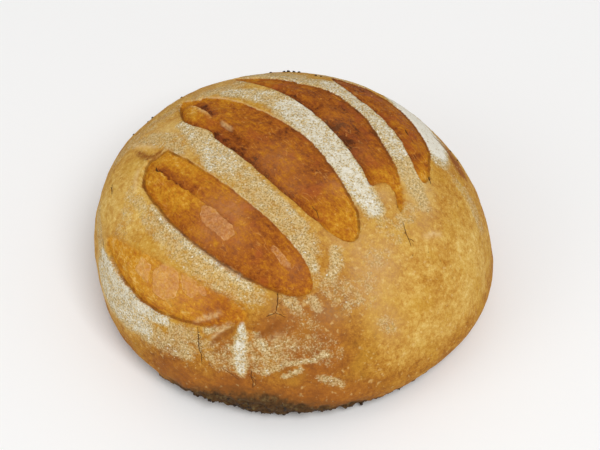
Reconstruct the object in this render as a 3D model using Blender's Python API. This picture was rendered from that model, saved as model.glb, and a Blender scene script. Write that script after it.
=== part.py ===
"""A round sourdough loaf with five slashes, as one solid.

The loaf stands on its flat base, +Z up, with the middle of its footprint at the origin. The slashes run
from the back left (-X, +Y) to the front right (+X, -Y), and lie side by side from the front left to the
back right. Sizes are in millimetres here and are turned into metres at the end.

The crust is described by cap coordinates: a point's direction from the crown as seen from above, and
its distance from the crown measured over the crust. A slash is a curved lens drawn in them.
"""

import math
from collections import namedtuple

import bmesh
import bpy
import numpy as np
from mathutils import Vector, noise

MM = 0.001

# The loaf's driving sizes. Its widest level is the belly; below it the wall tucks in to the foot
HALF_WIDTH = 130.0
HALF_DEPTH = 117.8
HEIGHT = 120.0
BELLY_HEIGHT = 25.0
FOOT_SHARE = 0.885
MEAN_RADIUS = 125.0
# Powers of the dome's section, outwards and upwards: 2 and 2 would make it half an ellipse
SHOULDER = 2.80
CROWN = 2.47
# The crown stands off centre, as a loaf that rose a little to one side
CROWN_LEAN = (-12.4, 14.1)
# Waves that make the round outline uneven: how many to a turn, how high as a share, and where the crest is
OUTLINE_WAVES = ((2, 0.0043, 150.0), (3, 0.0076, -73.0), (4, 0.0021, -17.0))

# A slash is a lens: its middle, its heading in degrees, half its length and width, its bow to the left,
# the bluntness of its ends, and how much it widens towards its front end
Slash = namedtuple("Slash", "x y heading half_length half_width bow blunt widen")
SLASHES = {
    "first": Slash(-71.4, -82.1, -40.3, 62.2, 15.4, -13.1, 1.70, 0.08),
    "second": Slash(-35.7, -46.0, -49.8, 82.1, 20.8, -7.3, 2.05, 0.14),
    "third": Slash(-9.0, -7.8, -50.2, 87.1, 20.3, 10.0, 2.43, 0.04),
    "fourth": Slash(22.4, 12.8, -55.3, 85.7, 13.4, 25.0, 2.47, 0.15),
    "fifth": Slash(64.9, 33.8, -63.8, 60.4, 12.0, 14.1, 2.90, -0.28),
}
OUTLINE_POINTS = 160

# A slash's floor lies deepest along its front edge and bulges up to the crust's level in the middle
DROP_FRONT = 4.2
DROP_BACK = 2.4
BULGE_POWER = 1.7
FLOOR_DIP = 0.6
WALL = 1.4
LIP = 1.0
LIP_REACH = 4.0

# Tears in a slash's floor: where they start and end along it and lie across it, as shares, and their step
Tear = namedtuple("Tear", "first last place step")
TEARS = {
    "second": Tear(-0.80, 0.05, 0.22, 2.0),
    "third": Tear(-0.92, -0.30, -0.05, 1.8),
}
TEAR_WALL = 1.6
TEAR_FADE_IN = 0.12
TEAR_FADE_OUT = 0.25
TEAR_WANDER = 1.6
TEAR_WANDERS = 23.0
TEAR_GROOVE = 0.9
TEAR_GROOVE_WIDTH = 2.0

# Uneven skin, and the crags of the burnt foot: heights and the size of one bump
SWELL, SWELL_SIZE = 1.6, 42.0
RIPPLE, RIPPLE_SIZE = 0.5, 13.0
CRAG, CRAG_SIZE = 1.7, 6.0
CRAG_BAND = 11.0
CRAG_RAISE = 0.15
FLOOR_FADE = 3.0

# Mesh density: how near a slash's edge, a tear or the foot an edge of the mesh is before it is halved
BALL_SUBDIVISIONS = 5
EDGE_REACH = 6.5
TEAR_REACH = 4.0
FOOT_REACH = 5.0
SNAP = 1.0

CRUST_COLOUR = (0.52, 0.27, 0.085, 1.0)
CRUST_ROUGHNESS = 0.62
PROFILE_STEPS = 1500


def meridian():
    """The loaf's section from crown to the middle of the base, as arc length, radius share and height."""
    turn = np.linspace(0.0, math.pi / 2, PROFILE_STEPS)
    dome_radius = np.sin(turn) ** (2 / SHOULDER)
    dome_height = BELLY_HEIGHT + (HEIGHT - BELLY_HEIGHT) * np.cos(turn).clip(0) ** (2 / CROWN)
    down = np.linspace(0.0, 1.0, PROFILE_STEPS)[1:]
    tuck_radius = 1 - (1 - FOOT_SHARE) * down**2
    tuck_height = BELLY_HEIGHT * (1 - down)
    base_radius = FOOT_SHARE * (1 - down)
    radius = np.concatenate([dome_radius, tuck_radius, base_radius])
    height = np.concatenate([dome_height, tuck_height, np.zeros_like(base_radius)])
    steps = np.hypot(np.diff(radius) * MEAN_RADIUS, np.diff(height))
    length = np.concatenate([[0.0], np.cumsum(steps)])
    foot = length[len(dome_radius) + len(tuck_radius) - 1]
    return length, radius, height, foot


LENGTH, RADIUS, PROFILE_HEIGHT, FOOT = meridian()


def outline_share(turn):
    """How far out the loaf's outline lies at an angle seen from above, as a share of the plain oval."""
    share = np.ones_like(turn)
    for count, size, crest in OUTLINE_WAVES:
        share += size * np.cos(count * turn - math.radians(crest))
    return share


def plain_form(turn, arc):
    """Points of the loaf before its slashes, for angles seen from above and arc lengths from the crown."""
    radius = np.interp(arc, LENGTH, RADIUS) * outline_share(turn)
    height = np.interp(arc, LENGTH, PROFILE_HEIGHT)
    lean = ((height - BELLY_HEIGHT) / (HEIGHT - BELLY_HEIGHT)).clip(0)
    x = HALF_WIDTH * radius * np.cos(turn) + CROWN_LEAN[0] * lean
    y = HALF_DEPTH * radius * np.sin(turn) + CROWN_LEAN[1] * lean
    return np.stack([x, y, height], axis=1)


def along_and_across(slash, cap):
    """Cap coordinates turned into a slash's own: share along its half length, and mm across it."""
    turn = math.radians(slash.heading)
    away = cap - np.array([slash.x, slash.y])
    along = (away @ np.array([math.cos(turn), math.sin(turn)])) / slash.half_length
    across = away @ np.array([-math.sin(turn), math.cos(turn)]) - slash.bow * (1 - along**2)
    return along, across


def slash_outline(slash):
    """The closed outline of a slash in cap coordinates, counter-clockwise."""
    turn = np.linspace(0.0, 2 * math.pi, OUTLINE_POINTS, endpoint=False)
    along = np.sign(np.cos(turn)) * np.abs(np.cos(turn)) ** (2 / slash.blunt)
    across = slash.half_width * np.sin(turn) * (1 + slash.widen * along) + slash.bow * (1 - along**2)
    ahead = slash.half_length * along
    head = math.radians(slash.heading)
    x = slash.x + ahead * math.cos(head) - across * math.sin(head)
    y = slash.y + ahead * math.sin(head) + across * math.cos(head)
    return np.stack([x, y], axis=1)


OUTLINES = {name: slash_outline(slash) for name, slash in SLASHES.items()}


def edge_distance(points, outline):
    """Distance in mm from each point to a closed outline, below 0 inside it, and the way straight out of it."""
    nearest = np.full(len(points), np.inf)
    way_out = np.zeros_like(points)
    inside = np.zeros(len(points), bool)
    for start, end in zip(outline, np.roll(outline, -1, axis=0)):
        run = end - start
        away = points - start
        share = ((away @ run) / (run @ run)).clip(0, 1)
        distance = np.hypot(*(away - share[:, None] * run).T)
        closer = distance < nearest
        nearest[closer] = distance[closer]
        way_out[closer] = np.array([run[1], -run[0]]) / np.hypot(*run)
        crosses = (start[1] > points[:, 1]) != (end[1] > points[:, 1])
        with np.errstate(divide="ignore", invalid="ignore"):
            reach = start[0] + run[0] * (points[:, 1] - start[1]) / run[1]
        inside ^= crosses & (points[:, 0] < reach)
    return np.where(inside, -nearest, nearest), way_out


def smooth(value):
    """A soft step from 0 to 1."""
    value = np.clip(value, 0, 1)
    return value * value * (3 - 2 * value)


def tear_height(tear, along, across, half_width):
    """The torn skin in a slash's floor: its front side stands above its back side, over a groove."""
    fade = smooth((along - tear.first) / TEAR_FADE_IN) * smooth((tear.last - along) / TEAR_FADE_OUT)
    side = tear.place * half_width + TEAR_WANDER * np.sin(along * TEAR_WANDERS) - across
    groove = TEAR_GROOVE * np.exp(-(((side + TEAR_WALL) / TEAR_GROOVE_WIDTH) ** 2))
    return fade * (tear.step * (smooth(side / TEAR_WALL + 0.5) - 0.5) - groove)


def slash_relief(cap):
    """Height in mm that the slashes add to the crust, at cap coordinates."""
    height = np.zeros(len(cap))
    for name, slash in SLASHES.items():
        away, _ = edge_distance(cap, OUTLINES[name])
        along, across = along_and_across(slash, cap)
        back = smooth((across / slash.half_width + 1) / 2)
        drop = DROP_FRONT + (DROP_BACK - DROP_FRONT) * back
        depth = (-away / slash.half_width).clip(0, 1)
        floor = -drop * (1 - depth) ** BULGE_POWER - FLOOR_DIP
        if name in TEARS:
            floor = floor + tear_height(TEARS[name], along, across, slash.half_width)
        lip = LIP * np.exp(-away.clip(0) / LIP_REACH)
        inside = smooth(0.5 - away / WALL)
        height += inside * floor + (1 - inside) * lip
    return height


def skin_relief(points, arc):
    """Height in mm of the crust's swells and ripples, and of the crags round its burnt foot."""
    foot_band = np.exp(-(((arc - FOOT) / CRAG_BAND) ** 2))
    above_floor = smooth((FOOT - arc) / FLOOR_FADE)
    height = np.empty(len(points))
    for i, point in enumerate(points):
        place = Vector(point)
        swell = noise.noise(place / SWELL_SIZE)
        ripple = noise.noise(place / RIPPLE_SIZE)
        crag = noise.noise(place / CRAG_SIZE)
        height[i] = SWELL * swell + RIPPLE * ripple + CRAG * foot_band[i] * (crag + CRAG_RAISE)
    return height * above_floor


def cap_of(ball_points):
    """Cap coordinates of points of the unit ball: the crown is its top, the middle of the base its bottom."""
    arc = np.arccos(ball_points[:, 2].clip(-1, 1)) / math.pi * LENGTH[-1]
    turn = np.arctan2(ball_points[:, 1], ball_points[:, 0])
    return np.stack([arc * np.cos(turn), arc * np.sin(turn)], axis=1)


def ball_of(cap):
    """Points of the unit ball at cap coordinates."""
    arc = np.hypot(cap[:, 0], cap[:, 1])
    fall = arc / LENGTH[-1] * math.pi
    level = np.sin(fall) / arc.clip(1e-9)
    return np.stack([cap[:, 0] * level, cap[:, 1] * level, np.cos(fall)], axis=1)


def vertex_array(bm):
    return np.array([v.co for v in bm.verts], float)


def halve_edges_near_detail(bm):
    """Halves each edge of the unit ball whose middle lies near a slash's edge, a tear or the foot."""
    middles = np.array([(e.verts[0].co + e.verts[1].co).normalized() for e in bm.edges], float)
    cap = cap_of(middles)
    near = np.abs(np.hypot(cap[:, 0], cap[:, 1]) - FOOT) < FOOT_REACH
    for name, slash in SLASHES.items():
        away, _ = edge_distance(cap, OUTLINES[name])
        near |= np.abs(away) < EDGE_REACH
        if name in TEARS:
            tear = TEARS[name]
            along, across = along_and_across(slash, cap)
            beside = np.abs(across - tear.place * slash.half_width) < TEAR_REACH
            near |= beside & (along > tear.first) & (along < tear.last)
    chosen = [edge for edge, hit in zip(bm.edges, near) if hit]
    bmesh.ops.subdivide_edges(bm, edges=chosen, cuts=1, use_grid_fill=True)
    bmesh.ops.triangulate(bm, faces=bm.faces)
    for vert in bm.verts:
        vert.co.normalize()


def score_line(bm, outline, level):
    """Lays edges of the unit ball along the line that runs `level` mm outside a slash's outline."""
    cap = cap_of(vertex_array(bm))
    away, way_out = edge_distance(cap, outline)
    away -= level
    bm.verts.index_update()
    scored = []
    moved = ball_of(cap - way_out * away[:, None])
    for vert, place, gap in zip(bm.verts, moved, away):
        if abs(gap) < SNAP:
            vert.co = place
            scored.append(vert)
    away[np.abs(away) < SNAP] = 0.0
    for edge in list(bm.edges):
        start, end = edge.verts
        start_gap, end_gap = away[start.index], away[end.index]
        if start_gap * end_gap < 0:
            _, vert = bmesh.utils.edge_split(edge, start, start_gap / (start_gap - end_gap))
            vert.co.normalize()
            scored.append(vert)
    bmesh.ops.connect_verts(bm, verts=scored)
    bmesh.ops.triangulate(bm, faces=bm.faces)


def crust_mesh():
    """The loaf's mesh: a ball with fine triangles where there is detail, drawn out into the loaf's form."""
    bm = bmesh.new()
    bmesh.ops.create_icosphere(bm, subdivisions=BALL_SUBDIVISIONS, radius=1.0)
    halve_edges_near_detail(bm)
    for outline in OUTLINES.values():
        score_line(bm, outline, -WALL / 2)
        score_line(bm, outline, WALL / 2)

    cap = cap_of(vertex_array(bm))
    turn = np.arctan2(cap[:, 1], cap[:, 0])
    arc = np.hypot(cap[:, 0], cap[:, 1])
    form = plain_form(turn, arc)
    for vert, point in zip(bm.verts, form):
        vert.co = point
    bm.normal_update()
    normals = np.array([v.normal for v in bm.verts], float)
    relief = slash_relief(cap) + skin_relief(form, arc)
    shaped = form + normals * relief[:, None]
    shaped[:, 2] = np.where(arc >= FOOT, 0.0, shaped[:, 2].clip(0.0))
    middle = (shaped.max(axis=0) + shaped.min(axis=0)) / 2
    shaped[:, :2] -= middle[:2]
    for vert, point in zip(bm.verts, shaped * MM):
        vert.co = point

    base = [f for f in bm.faces if all(v.co.z == 0.0 for v in f.verts)]
    bmesh.ops.dissolve_faces(bm, faces=base, use_verts=True)
    bm.normal_update()
    mesh = bpy.data.meshes.new("crust")
    bm.to_mesh(mesh)
    bm.free()
    mesh.shade_smooth()
    print("middle of the footprint before centring:", middle[:2].round(3), "mm")
    return mesh


def crust_material():
    material = bpy.data.materials.new("baked_crust")
    material.use_nodes = True
    shader = material.node_tree.nodes["Principled BSDF"]
    shader.inputs["Base Color"].default_value = CRUST_COLOUR
    shader.inputs["Roughness"].default_value = CRUST_ROUGHNESS
    shader.inputs["Metallic"].default_value = 0.0
    return material


def main():
    for obj in list(bpy.data.objects):
        bpy.data.objects.remove(obj)
    mesh = crust_mesh()
    mesh.materials.append(crust_material())
    loaf = bpy.data.objects.new("loaf", mesh)
    bpy.context.scene.collection.objects.link(loaf)
    print("loaf:", len(mesh.vertices), "points,", len(mesh.polygons), "faces")
    return loaf


main()
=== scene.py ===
# %% [markdown]
# # A round sourdough loaf
# This lesson dresses a plain solid of a loaf so that it looks baked: a floured crown, torn slashes with
# bulging floors, cracks, blisters and a burnt foot. The solid is loaded first and never changed. Every
# piece made here stands in the same place and at the same size, in metres, with +Z up.

# %% Load the plain loaf
import math
from collections import namedtuple

import bmesh
import bpy
import numpy as np
from mathutils import Matrix, Vector, noise


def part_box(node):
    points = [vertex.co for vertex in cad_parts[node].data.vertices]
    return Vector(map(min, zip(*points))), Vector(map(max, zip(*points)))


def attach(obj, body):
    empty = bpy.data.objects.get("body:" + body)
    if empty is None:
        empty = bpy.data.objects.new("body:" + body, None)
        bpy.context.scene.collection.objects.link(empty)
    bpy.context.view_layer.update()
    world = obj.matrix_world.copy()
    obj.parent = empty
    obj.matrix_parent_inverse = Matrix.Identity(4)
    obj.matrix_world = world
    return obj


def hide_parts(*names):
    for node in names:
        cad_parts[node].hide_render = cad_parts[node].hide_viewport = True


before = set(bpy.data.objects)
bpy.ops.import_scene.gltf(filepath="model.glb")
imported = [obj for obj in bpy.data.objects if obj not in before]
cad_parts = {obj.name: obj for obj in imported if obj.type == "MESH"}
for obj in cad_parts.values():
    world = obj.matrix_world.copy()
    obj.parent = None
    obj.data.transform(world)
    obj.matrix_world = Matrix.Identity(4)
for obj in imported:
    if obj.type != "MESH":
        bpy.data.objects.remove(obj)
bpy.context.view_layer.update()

MM = 0.001
LOAF_LOW, LOAF_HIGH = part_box("loaf")
print("the plain loaf measures", [round((h - l) / MM, 1) for l, h in zip(LOAF_LOW, LOAF_HIGH)], "mm")

# %% [markdown]
# ## The camera
# The photograph looks down on the loaf at 48 degrees from a little over a metre away, which shows the
# slashes and the front of the crust at once. A long lens keeps the far edge from shrinking. The picture
# is turned by one and a half degrees, because nobody holds a camera quite level. The camera slides a few
# millimetres sideways and up, which frames the loaf without any lens shift.

# %% Place the camera
AIM = Vector((0.34, -1.81, 50.0)) * MM
DISTANCE = 1.15
ELEVATION = math.radians(48.0)
ROLL = math.radians(1.5)
LENS_MM = 105.9
SLIDE_RIGHT = 3.5 * MM
SLIDE_UP = 6.0 * MM


def make_camera():
    back = Vector((0.0, -math.cos(ELEVATION), math.sin(ELEVATION)))
    up = Vector((0.0, math.sin(ELEVATION), math.cos(ELEVATION)))
    camera = bpy.data.objects.new("camera", bpy.data.cameras.new("camera"))
    bpy.context.scene.collection.objects.link(camera)
    camera.location = AIM + back * DISTANCE + Vector((SLIDE_RIGHT, 0, 0)) + up * SLIDE_UP
    look = (-back).to_track_quat("-Z", "Y").to_matrix().to_4x4()
    camera.matrix_world = Matrix.Translation(camera.location) @ look @ Matrix.Rotation(-ROLL, 4, "Z")
    camera.data.lens = LENS_MM
    bpy.context.scene.camera = camera
    return camera


print("camera at", [round(x, 3) for x in make_camera().location])

# %% [markdown]
# ## Light and floor
# A product photo of bread is lit softly from all round, with a little more light from above the camera,
# so that the slashes' front edges fall into shade and the far side turns a shade darker. One white world
# gives the soft part and a large area light the direction. The floor is a plain pale sheet, big enough to
# have no edge in view.

# %% Set up the studio
WORLD_WHITE = (1.0, 0.995, 0.985, 1.0)
WORLD_STRENGTH = 0.52
KEY_PLACE = Vector((0.9, -2.2, 3.6))
KEY_SIZE = 1.9
KEY_POWER = 96.0
FILL_PLACE = Vector((-2.4, -1.2, 1.8))
FILL_SIZE = 1.8
FILL_POWER = 12.0
FLOOR_SIZE = 8.0
FLOOR_GREY = 0.95
FLOOR_ROUGHNESS = 0.9


def make_area_light(name, place, size, power):
    light = bpy.data.lights.new(name, "AREA")
    light.size = size
    light.energy = power
    lamp = bpy.data.objects.new(name, light)
    lamp.location = place
    lamp.rotation_euler = (AIM - place).to_track_quat("-Z", "Y").to_euler()
    bpy.context.scene.collection.objects.link(lamp)
    return lamp


def make_studio():
    world = bpy.data.worlds.new("studio")
    world.use_nodes = True
    background = world.node_tree.nodes["Background"]
    background.inputs["Color"].default_value = WORLD_WHITE
    background.inputs["Strength"].default_value = WORLD_STRENGTH
    bpy.context.scene.world = world
    bpy.context.scene.view_settings.view_transform = "Standard"
    make_area_light("key", KEY_PLACE, KEY_SIZE, KEY_POWER)
    make_area_light("fill", FILL_PLACE, FILL_SIZE, FILL_POWER)

    mesh = bpy.data.meshes.new("floor")
    half = FLOOR_SIZE / 2
    corners = [(-half, -half, 0), (half, -half, 0), (half, half, 0), (-half, half, 0)]
    mesh.from_pydata(corners, [], [(0, 1, 2, 3)])
    floor = bpy.data.objects.new("floor", mesh)
    bpy.context.scene.collection.objects.link(floor)
    paint = bpy.data.materials.new("pale_floor")
    paint.use_nodes = True
    shader = paint.node_tree.nodes["Principled BSDF"]
    shader.inputs["Base Color"].default_value = (FLOOR_GREY, FLOOR_GREY, FLOOR_GREY, 1.0)
    shader.inputs["Roughness"].default_value = FLOOR_ROUGHNESS
    mesh.materials.append(paint)
    return floor


print("floor", make_studio().name, "and two lights are in place")

# %% [markdown]
# ## The loaf's form
# A hand-shaped loaf is a dome that bulges over its own foot. Its section is a curve that is squarer than
# half an ellipse, turned round an oval, with a few slow waves so that the outline isn't a compass line.
# A place on the crust is given by cap coordinates: the direction from the crown as seen from above, and
# the distance from the crown measured over the crust, in millimetres. They work like a map drawn on the
# crust, so a slash or a flour patch is drawn flat and then lies on the bread.

# %% Section and outline of the loaf
HALF_WIDTH = 130.0
HALF_DEPTH = 117.8
HEIGHT = 120.0
BELLY_HEIGHT = 25.0
FOOT_SHARE = 0.885
MEAN_RADIUS = 125.0
SHOULDER = 2.80
CROWN = 2.47
CROWN_LEAN = (-12.4, 14.1)
OUTLINE_WAVES = ((2, 0.0043, 150.0), (3, 0.0076, -73.0), (4, 0.0021, -17.0))
PROFILE_STEPS = 1500


def meridian():
    """The section from crown to the middle of the base, as arc length, radius share and height."""
    turn = np.linspace(0.0, math.pi / 2, PROFILE_STEPS)
    dome_radius = np.sin(turn) ** (2 / SHOULDER)
    dome_height = BELLY_HEIGHT + (HEIGHT - BELLY_HEIGHT) * np.cos(turn).clip(0) ** (2 / CROWN)
    down = np.linspace(0.0, 1.0, PROFILE_STEPS)[1:]
    tuck_radius = 1 - (1 - FOOT_SHARE) * down**2
    tuck_height = BELLY_HEIGHT * (1 - down)
    base_radius = FOOT_SHARE * (1 - down)
    radius = np.concatenate([dome_radius, tuck_radius, base_radius])
    height = np.concatenate([dome_height, tuck_height, np.zeros_like(base_radius)])
    steps = np.hypot(np.diff(radius) * MEAN_RADIUS, np.diff(height))
    length = np.concatenate([[0.0], np.cumsum(steps)])
    foot = length[len(dome_radius) + len(tuck_radius) - 1]
    return length, radius, height, foot


LENGTH, RADIUS, PROFILE_HEIGHT, FOOT = meridian()
print("over the crust from crown to foot:", round(FOOT, 1), "mm")


def plain_form(cap):
    """Points of the loaf before its slashes, in mm, at cap coordinates."""
    turn = np.arctan2(cap[:, 1], cap[:, 0])
    arc = np.hypot(cap[:, 0], cap[:, 1])
    share = np.ones_like(turn)
    for count, size, crest in OUTLINE_WAVES:
        share += size * np.cos(count * turn - math.radians(crest))
    radius = np.interp(arc, LENGTH, RADIUS) * share
    height = np.interp(arc, LENGTH, PROFILE_HEIGHT)
    lean = ((height - BELLY_HEIGHT) / (HEIGHT - BELLY_HEIGHT)).clip(0)
    x = HALF_WIDTH * radius * np.cos(turn) + CROWN_LEAN[0] * lean
    y = HALF_DEPTH * radius * np.sin(turn) + CROWN_LEAN[1] * lean
    return np.stack([x, y, height], axis=1)


# %% [markdown]
# ## The slashes
# A baker cuts the risen dough with a blade, and each cut opens in the oven into a lens. Here a slash is
# that lens in cap coordinates: its middle, heading, half length and half width, a bow, how blunt its ends
# are, how much it widens towards the front, and how deep its front edge drops. Such a lens is too even
# where the skin has torn, so bites replace some runs of its outline. Everything that a slash
# does to shape and colour depends on the distance to that outline: below 0 inside, above 0 outside.

# %% Outlines of the slashes
Slash = namedtuple("Slash", "x y heading half_length half_width bow blunt widen drop")
SLASHES = {
    "first": Slash(-71.4, -82.1, -40.3, 62.2, 15.4, -13.1, 1.70, 0.08, 1.8),
    "second": Slash(-35.7, -46.0, -49.8, 82.1, 20.8, -7.3, 2.05, 0.14, 3.0),
    "third": Slash(-9.0, -7.8, -50.2, 87.1, 20.3, 10.0, 2.43, 0.04, 4.4),
    "fourth": Slash(22.4, 12.8, -55.3, 85.7, 13.4, 25.0, 2.47, 0.15, 4.2),
    "fifth": Slash(64.9, 33.8, -63.8, 60.4, 12.0, 14.1, 2.90, -0.28, 2.8),
}
OUTLINE_POINTS = 300
RAGGED, RAGGED_SIZE = 0.7, 8.0
FRAYED, FRAYED_SIZE = 0.45, 2.6
BITES = [
    ("second", [(-68.7, 3.7), (-72.6, 1.0), (-77.6, 0.0), (-80.8, -4.8), (-82.3, -13.0),
                (-82.9, -21.9)]),
    ("third", [(-47.0, 55.8), (-54.3, 59.0), (-60.4, 61.7), (-62.2, 55.1), (-60.6, 43.2), (-57.7, 32.5),
               (-53.9, 26.3), (-49.8, 22.1), (-45.2, 19.3), (-40.6, 16.6), (-36.1, 12.1)]),
    ("third", [(48.1, -51.2), (46.0, -44.9), (42.7, -37.8), (39.5, -30.5), (33.9, -19.6), (28.3, -8.3),
               (22.8, 1.3), (16.8, 9.4)]),
    ("fourth", [(58.2, -33.6), (62.5, -30.6), (66.7, -29.2), (69.7, -31.5), (72.0, -35.4),
                (73.0, -40.4), (73.8, -46.0), (75.4, -49.0), (77.2, -45.6), (78.1, -38.7),
                (77.0, -31.5), (75.6, -22.4), (73.7, -13.7), (71.0, -5.7), (67.9, 2.6), (64.9, 11.6),
                (61.2, 22.3), (58.6, 29.4), (54.5, 37.1), (48.4, 45.9), (42.2, 54.5), (35.8, 58.9),
                (29.5, 62.1), (23.2, 64.2), (14.4, 68.7)]),
]
BITE_FRAY = 0.5
FAR = 16.0


def along_and_across(slash, cap):
    """Cap coordinates turned into a slash's own: share along its half length, and mm across it."""
    turn = math.radians(slash.heading)
    away = cap - np.array([slash.x, slash.y])
    along = (away @ np.array([math.cos(turn), math.sin(turn)])) / slash.half_length
    across = away @ np.array([-math.sin(turn), math.cos(turn)]) - slash.bow * (1 - along**2)
    return along, across


def wobble(x, y, size):
    """Smooth random values for places on the map of the crust."""
    return np.array([noise.noise(Vector((a, b, 0)) / size) for a, b in zip(x, y)])


def frayed(points, reach, spacing=1.2):
    """A given line made uneven: cut into short runs whose corners stray up to about `reach` mm."""
    line = []
    for start, end in zip(np.array(points, float), np.array(points[1:], float)):
        count = max(1, round(np.hypot(*(end - start)) / spacing))
        line += [start + (end - start) * step / count for step in range(count)]
    line = np.array(line + [points[-1]], float)
    stray = [wobble(*line.T, FRAYED_SIZE), wobble(*line.T[::-1], FRAYED_SIZE)]
    return line + reach * np.stack(stray, axis=1)


def bitten(outline, bite):
    """The outline with the run between the bite's two ends replaced by the bite's own line."""
    first, last = [int(np.argmin(np.hypot(*(outline - end).T))) for end in (bite[0], bite[-1])]
    kept = np.roll(outline, -last - 1, axis=0)[:(first - last - 1) % len(outline)]
    return np.concatenate([kept, bite])


def slash_outline(slash):
    turn = np.linspace(0.0, 2 * math.pi, OUTLINE_POINTS, endpoint=False)
    along = np.sign(np.cos(turn)) * np.abs(np.cos(turn)) ** (2 / slash.blunt)
    across = slash.half_width * np.sin(turn) * (1 + slash.widen * along) + slash.bow * (1 - along**2)
    ahead = slash.half_length * along
    head = math.radians(slash.heading)
    ragged = RAGGED * wobble(ahead, across, RAGGED_SIZE)
    across = across + ragged + FRAYED * wobble(ahead, across, FRAYED_SIZE)
    x = slash.x + ahead * math.cos(head) - across * math.sin(head)
    y = slash.y + ahead * math.sin(head) + across * math.cos(head)
    return np.stack([x, y], axis=1)


def near_line(points, line, closed):
    """For points near a line of straight runs: distance, side, way across, and share along it.

    The distance is less than 0 inside a closed line. The side is in mm, above 0 on the line's right.
    """
    line = np.asarray(line, float)
    ends = np.roll(line, -1, axis=0) if closed else line[1:]
    starts = line if closed else line[:-1]
    picked = ((points > line.min(axis=0) - FAR) & (points < line.max(axis=0) + FAR)).all(axis=1)
    spot = points[picked]
    nearest = np.full(len(spot), FAR)
    side = np.zeros(len(spot))
    share_along = np.zeros(len(spot))
    way = np.zeros_like(spot)
    inside = np.zeros(len(spot), bool)
    lengths = np.hypot(*(ends - starts).T)
    passed = np.concatenate([[0.0], np.cumsum(lengths)])
    for i, (start, end) in enumerate(zip(starts, ends)):
        run = end - start
        away = spot - start
        share = ((away @ run) / (run @ run)).clip(0, 1)
        distance = np.hypot(*(away - share[:, None] * run).T)
        closer = distance < nearest
        nearest[closer] = distance[closer]
        right = np.array([run[1], -run[0]]) / lengths[i]
        side[closer] = (away @ right)[closer]
        way[closer] = right
        share_along[closer] = (passed[i] + share * lengths[i])[closer] / passed[-1]
        if closed:
            crosses = (start[1] > spot[:, 1]) != (end[1] > spot[:, 1])
            with np.errstate(divide="ignore", invalid="ignore"):
                reach = start[0] + run[0] * (spot[:, 1] - start[1]) / run[1]
            inside ^= crosses & (spot[:, 0] < reach)
    distance = np.full(len(points), FAR)
    distance[picked] = np.where(inside, -nearest, nearest)
    sides = np.zeros(len(points))
    sides[picked] = side
    ways = np.zeros_like(points)
    ways[picked] = way
    shares = np.zeros(len(points))
    shares[picked] = share_along
    return distance, sides, ways, shares


OUTLINES = {name: slash_outline(slash) for name, slash in SLASHES.items()}
for name, bite in BITES:
    OUTLINES[name] = bitten(OUTLINES[name], frayed(bite, BITE_FRAY))
print("slashes:", ", ".join(f"{name} {2 * slash.half_length:.0f} mm" for name, slash in SLASHES.items()))

# %% [markdown]
# ## Tears, cracks, blisters and pits
# Inside a slash the skin tears again while the loaf still grows, which leaves ragged steps. Where the
# crust cools it cracks in fine dark lines, and thin bubbles of skin stay pale. Creases are folds and scars
# of the skin, and ridges its thin raised edges. They are all given on the map of the crust, as a
# few points each, because they follow no rule that a formula could give.

# %% Marks drawn on the crust
Tear = namedtuple("Tear", "points step groove shade shade_width")
TEARS = {
    "second_notch": Tear([(-72, -8), (-72, -13), (-68, -16), (-64, -22), (-59, -27), (-55, -32),
                          (-50, -37), (-44, -43)], 2.4, 0.5, 0.80, 6.5),
    "second_ridge": Tear([(-46, -41), (-40, -48), (-34, -53), (-28, -61),
                          (-22, -69)], 0.9, 0.2, 0.35, 2.6),
    "third_flap": Tear([(-55, 55), (-50, 49), (-44, 40), (-39, 33), (-37, 27)], 2.2, 0.6, 0.85, 9.0),
    "third_shelf": Tear([(-38, 28), (-32, 23), (-27, 18), (-24, 14), (-21, 10), (-16, 3),
                         (-12, -3)], -2.0, 0.2, 0.35, 9.0),
    "third_crease": Tear([(-18, -4), (-9, -12), (-1, -19), (6, -28)], 0.9, 0.1, 0.15, 2.0),
    "fourth_tongue": Tear([(38, 22), (46, 8), (54, -6), (60, -20)], -0.8, 0.1, 0.20, 4.0),
}
TEAR_STEP_WIDTH = 1.0
TEAR_FRAY = 1.5

CRACKS = {
    "front": [(-60, -121), (-63, -127), (-66, -133), (-67, -139), (-70, -145)],
    "below_second": [(-2, -108), (-3, -113), (-4, -117), (-5, -120)],
    "below_second_left": [(-5, -120), (-8, -121), (-12, -122)],
    "below_second_right": [(-5, -120), (-2, -121), (1, -123)],
    "beside_fourth": [(76.5, -55), (78, -60), (80, -65), (82, -70)],
    "beside_fourth_branch": [(80, -65), (84, -66)],
    "fourth_slit": [(73.1, -39.7), (73.8, -44.5), (74.6, -48.7)],
    "fifth_slit": [(82, 26), (84, 21)],
    "fifth_slit_low": [(85.5, 18), (86.5, 14)],
    "fifth_end": [(95.4, -12), (95.0, -15), (95.4, -19)],
    "second_hole": [(-73.5, -9), (-72, -13), (-70, -15)],
    "foot": [(-31, -155), (-34, -160), (-33, -163), (-36, -168)],
    "left_slit": [(-111, -3), (-109, -12)],
    "left_slit_low": [(-126, -36), (-127, -43)],
    "front_low": [(-55, -150), (-48, -155), (-44, -161)],
    "middle": [(22, -52), (25, -56), (26, -61)],
    "back": [(22, 126), (25, 133), (23, 141), (27, 149), (26, 156)],
    "back_branch": [(23, 141), (18, 145)],
    "back_left": [(-98, 92), (-103, 99), (-104, 107), (-109, 113)],
    "right_wall": [(152, 34), (156, 26), (155, 17), (158, 9)],
}
CRACK_WIDTHS = {
    "front": 0.30,
    "below_second": 0.26,
    "beside_fourth": 0.20,
    "fourth_slit": 0.42,
    "fifth_slit": 0.45,
    "fifth_end": 0.25,
    "second_hole": 0.50,
    "foot": 0.30,
    "left_slit": 0.45,
    "left_slit_low": 0.50,
    "back": 0.26,
    "back_left": 0.22,
}
CRACK_WIDTH = 0.14
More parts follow.
